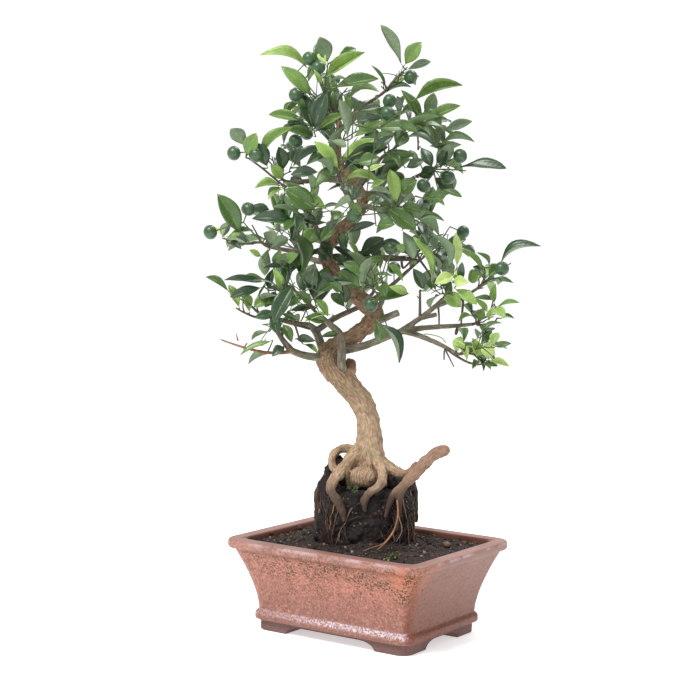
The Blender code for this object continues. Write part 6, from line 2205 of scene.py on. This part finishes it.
def add_shown_leaves(foliage, woods):
    """Every leaf the tree shows, on a twig from the nearest wood, its blade turned to show as wide."""
    rng = random.Random("shown")
    spots = list(woods)
    for *places, width, shade in SHOWN_LEAVES:
        foot, tip_shown = places[:2], places[2:]
        flat = seen(*foot, 0.0)
        near = min(spots, key=lambda spot: beside(spot, flat) + FRONT_FIRST * (spot.y + 60))
        bark = bark_before(flat)
        if bark is not None and near.y > bark.y:
            near = bark
        depth, crosses = depth_of_shown(foot, tip_shown, flat, near)
        base = seen(*foot, depth)
        shown = math.dist(foot, tip_shown) * STEP_SHOWN
        reach = rng.uniform(*TIP_LEAN) * shown + max(0.0, SHORT_LEAF - shown) * SHORT_LEAN
        to_front = rng.random() < TIP_TO_VIEWER or crosses
        tip = seen(*tip_shown, base.y + (-reach if to_front else reach * 0.7))
        apart = beside(near, flat)
        if apart > 0.8:
            bend = near.lerp(base, 0.55) + Vector((0.0, 0.0, -0.05 * apart))
            foliage.twig([(*near, 1.5), (*bend, 1.25), (*base, 1.0)], 0, 5, 3)
            spots.append(near.lerp(base, 0.6))
        spots.append(base)
        way = (tip - base).normalized()
        to_viewer = EYE / MM - base.lerp(tip, 0.5)
        to_viewer = (to_viewer - way * to_viewer.dot(way)).normalized()
        aside = way.cross(to_viewer)
        if aside.z < 0:
            aside = -aside
        real_width = max(width * STEP_SHOWN * 1.08, (tip - base).length * NARROWEST_SHOWN)
        open_share = min(width * STEP_SHOWN * 1.04 / real_width, 0.98)
        grey = shade == "grey"
        face = (-to_viewer if grey else to_viewer) * open_share + aside * math.sqrt(1 - open_share**2)
        foliage.leaf(base, tip, face, real_width, "bluish" if grey else shade)


# How much wood nearer the viewer is preferred, and where in TRUNK the crown starts.
FRONT_FIRST = 0.22
CROWN_TRUNK = 13
# The bare twigs that show: kind (0 green, 1 pale, 2 brown), width at the foot and at the tip, and places.
SHOWN_TWIGS = [
    (2, 2.8, 2.0, [(420, 318), (420, 305), (420, 290)]), (2, 1.2, 0.9, [(420, 300), (417, 296)]),
    (2, 2.0, 1.4, [(438, 303), (439, 316), (439, 328)]),
    (2, 2.4, 1.5, [(463, 303), (462, 314), (461, 325)]), (2, 1.8, 1.2, [(445, 349), (444, 360)]),
    (2, 1.7, 1.1, [(446, 350), (450, 359), (454, 367)]),
    (2, 2.8, 1.3, [(447, 349), (458, 357), (470, 363), (482, 364), (487, 356)]),
    (1, 1.0, 0.8, [(424, 337), (426, 334), (440, 337), (446, 343)]),
    (2, 3.4, 2.6, [(457, 330), (456, 334)]), (2, 2.4, 1.4, [(478, 325), (493, 323), (497, 318)]),
    (2, 2.8, 1.8, [(462, 299), (475, 290), (487, 283)]),
    (2, 2.4, 1.6, [(403, 268), (411, 261), (418, 255)]),
    (2, 2.4, 1.6, [(420, 260), (427, 270), (432, 279)]),
    (2, 2.8, 2.0, [(385, 260), (402, 260), (418, 260)]),
    (2, 2.4, 1.5, [(300, 252), (285, 250), (262, 243), (248, 244), (228, 243)]),
    (2, 1.9, 1.3, [(262, 243), (257, 234), (252, 225)]),
    (2, 2.4, 1.5, [(286, 187), (280, 183), (262, 168), (248, 158)]),
    (2, 2.3, 1.4, [(256, 317), (245, 313), (236, 308)]), (2, 1.3, 0.9, [(243, 308), (243, 300)]),
    (2, 2.8, 2.0, [(315, 330), (300, 326), (282, 321)]),
    (2, 2.3, 1.6, [(291, 316), (296, 328), (299, 338)]),
    (2, 2.3, 1.5, [(292, 348), (285, 340), (274, 325)]),
    (2, 2.0, 1.2, [(376, 96), (382, 94), (393, 82), (404, 72)]),
    (2, 1.9, 1.5, [(417, 130), (418, 140), (418, 150)]),
]
# A twig whose foot shows farther than this from all wood is left out.
LONGEST_REACH = 16.0


def add_shown_twigs(foliage, woods):
    """The bare twigs that show, each at the depth of the wood that it leaves."""
    for kind, foot_width, tip_width, places in SHOWN_TWIGS:
        flat = seen(*places[0], 0.0)
        near = min(woods, key=lambda spot: beside(spot, flat) + 0.1 * abs(spot.y + 10))
        if beside(near, flat) > LONGEST_REACH:
            continue
        rings = [(*near, foot_width)]
        for step, (across, down) in enumerate(places):
            share = step / max(len(places) - 1, 1)
            spot = seen(across, down, near.y - 6.0 * share)
            rings.append((*spot, foot_width + (tip_width - foot_width) * share))
            woods.append(Vector(spot))
        foliage.twig(rings, kind, 6, 4)


# Small weeds: where each shows, its depth or height, the spread of its leaves in mm, their number and shade.
WEEDS = [
    (seen(355, 491, -42.5), 6.0, 18, "dark"), (seen(349, 489, -42.5), 4.0, 8, "bluish"),
    (on_level(393, 557, 84.5), 6.5, 7, "fresh"), (on_level(388, 560, 84.5), 4.5, 5, "light"),
]


def add_weeds(foliage):
    """Moss and seedlings among the roots and on the soil."""
    rng = random.Random("weeds")
    for middle, spread, count, shade in WEEDS:
        for _ in range(count):
            shift = Vector((rng.uniform(-0.4, 0.4), rng.uniform(0.0, 0.2), rng.uniform(-0.4, 0.4)))
            foot = middle + shift * spread
            way = Vector((rng.uniform(-1, 1), rng.uniform(-1, -0.2), rng.uniform(0.0, 1.1))).normalized()
            size = spread * rng.uniform(0.5, 0.9)
            width = size * rng.uniform(0.4, 0.6)
            foliage.leaf(foot, foot + way * size, UP + way * -0.3, width, shade, stalk=False)


# The stage

def add_stage():
    bpy.ops.mesh.primitive_plane_add(size=8.0)
    floor = bpy.context.object
    floor.name = "white_floor"
    made, _, shader = new_finish("white_paper", 0.9, specular=0.1)
    shader.inputs["Base Color"].default_value = (0.9, 0.9, 0.905, 1.0)
    shader.inputs["Emission Color"].default_value = (1.0, 1.0, 1.0, 1.0)
    shader.inputs["Emission Strength"].default_value = FLOOR_GLOW
    floor.data.materials.append(made)
    world = bpy.data.worlds.new("white_room")
    bpy.context.scene.world = world
    world.use_nodes = True
    room = world.node_tree
    rays = add_node(room, "ShaderNodeLightPath").outputs["Is Camera Ray"]
    strength = band(room, rays, 0.0, 1.0, ROOM_LIGHT, BACKDROP_LIGHT)
    room.nodes["Background"].inputs["Color"].default_value = (1.0, 1.0, 1.0, 1.0)
    room.links.new(strength, room.nodes["Background"].inputs["Strength"])
    bpy.context.scene.view_settings.view_transform = "Standard"
    for name, place, size, power, colour in LAMPS:
        light = bpy.data.lights.new(name, "AREA")
        light.shape = "DISK"
        light.size = size
        light.energy = power
        light.color = colour
        lamp = bpy.data.objects.new(name, light)
        bpy.context.scene.collection.objects.link(lamp)
        spot = TREE @ Vector(place)
        lamp.location = spot
        lamp.rotation_euler = (TREE @ LAMPS_AIM - spot).to_track_quat("-Z", "Y").to_euler()


ROOM_LIGHT = 0.60
BACKDROP_LIGHT = 1.05
FLOOR_GLOW = 0.5
LAMPS_AIM = Vector((0.0, 0.0, 0.25))
# Each lamp: its name, its place in the tree's frame in metres, its size, its power and its colour.
LAMPS = [
    ("key_lamp", (-0.7, -0.9, 1.8), 0.8, 36.0, (1.0, 0.985, 0.96)),
    ("back_lamp", (0.55, 0.7, 1.8), 0.9, 20.0, (0.97, 0.985, 1.0)),
]


def add_camera():
    lens = bpy.data.cameras.new("view")
    lens.sensor_width = SENSOR
    lens.lens = VIEW_FOCUS * SENSOR / FRAME_WIDTH
    view = bpy.data.objects.new("view", lens)
    bpy.context.scene.collection.objects.link(view)
    right = SIDEWAYS * math.cos(VIEW_ROLL) + VIEW_UP * math.sin(VIEW_ROLL)
    up = VIEW_UP * math.cos(VIEW_ROLL) - SIDEWAYS * math.sin(VIEW_ROLL)
    turn = TREE.to_3x3() @ Matrix((right, up, -VIEW_AHEAD)).transposed()
    view.matrix_world = Matrix.Translation(TREE @ EYE) @ turn.to_4x4()
    bpy.context.scene.camera = view


EARTH = earth_finish("damp_peat", 0.0)
DAMP_EARTH = earth_finish("wet_peat", 0.62)

# Loose roots that end on the soil: the tint, the width and the places along each.
LOOSE_ROOTS = [
    (3, 1.6, [
        seen(397, 500, -47), seen(398, 515, -49), seen(394, 530, -52), seen(387, 541, -58),
        seen(377, 550, -63)]),
    (3, 1.2, [seen(394, 530, -52), seen(384, 543, -58), seen(371, 548, -62), seen(363, 551, -64)]),
    (2, 1.1, [seen(398, 515, -49), seen(402, 530, -52), seen(396, 542, -56)]),
]

add_camera()
add_stage()
add_pot()
soil = add_soil()
block = add_root_block()
add_clods()
add_grains(soil, block)
add_fibres()
add_trunk()
add_boughs()
crown = grow_crown()
foliage = Foliage()
fruits = [fruit for grown in crown.values() for fruit in grown["fruits"]]
middles = [middle for middle, _, _ in fruits]
chosen = {mass: choose_leaves(mass, grown, middles) for mass, grown in crown.items()}
wood_runs = [rings for _, rings in BOUGHS.values()] + [TRUNK[CROWN_TRUNK:]]
wood_runs += [grown["stem"] for grown in crown.values()]
wood_runs += [rings for _, shoots in chosen.values() for rings in shoots]
woods = [Vector(ring[:3]) for rings in wood_runs for ring in smooth_path(rings, 3)]
add_shown_twigs(foliage, woods)
add_weeds(foliage)
add_shown_leaves(foliage, woods)
for mass, grown in crown.items():
    dress_mass(mass, grown, *chosen[mass], foliage, middles)
foliage.finish()
add_fruits(fruits)
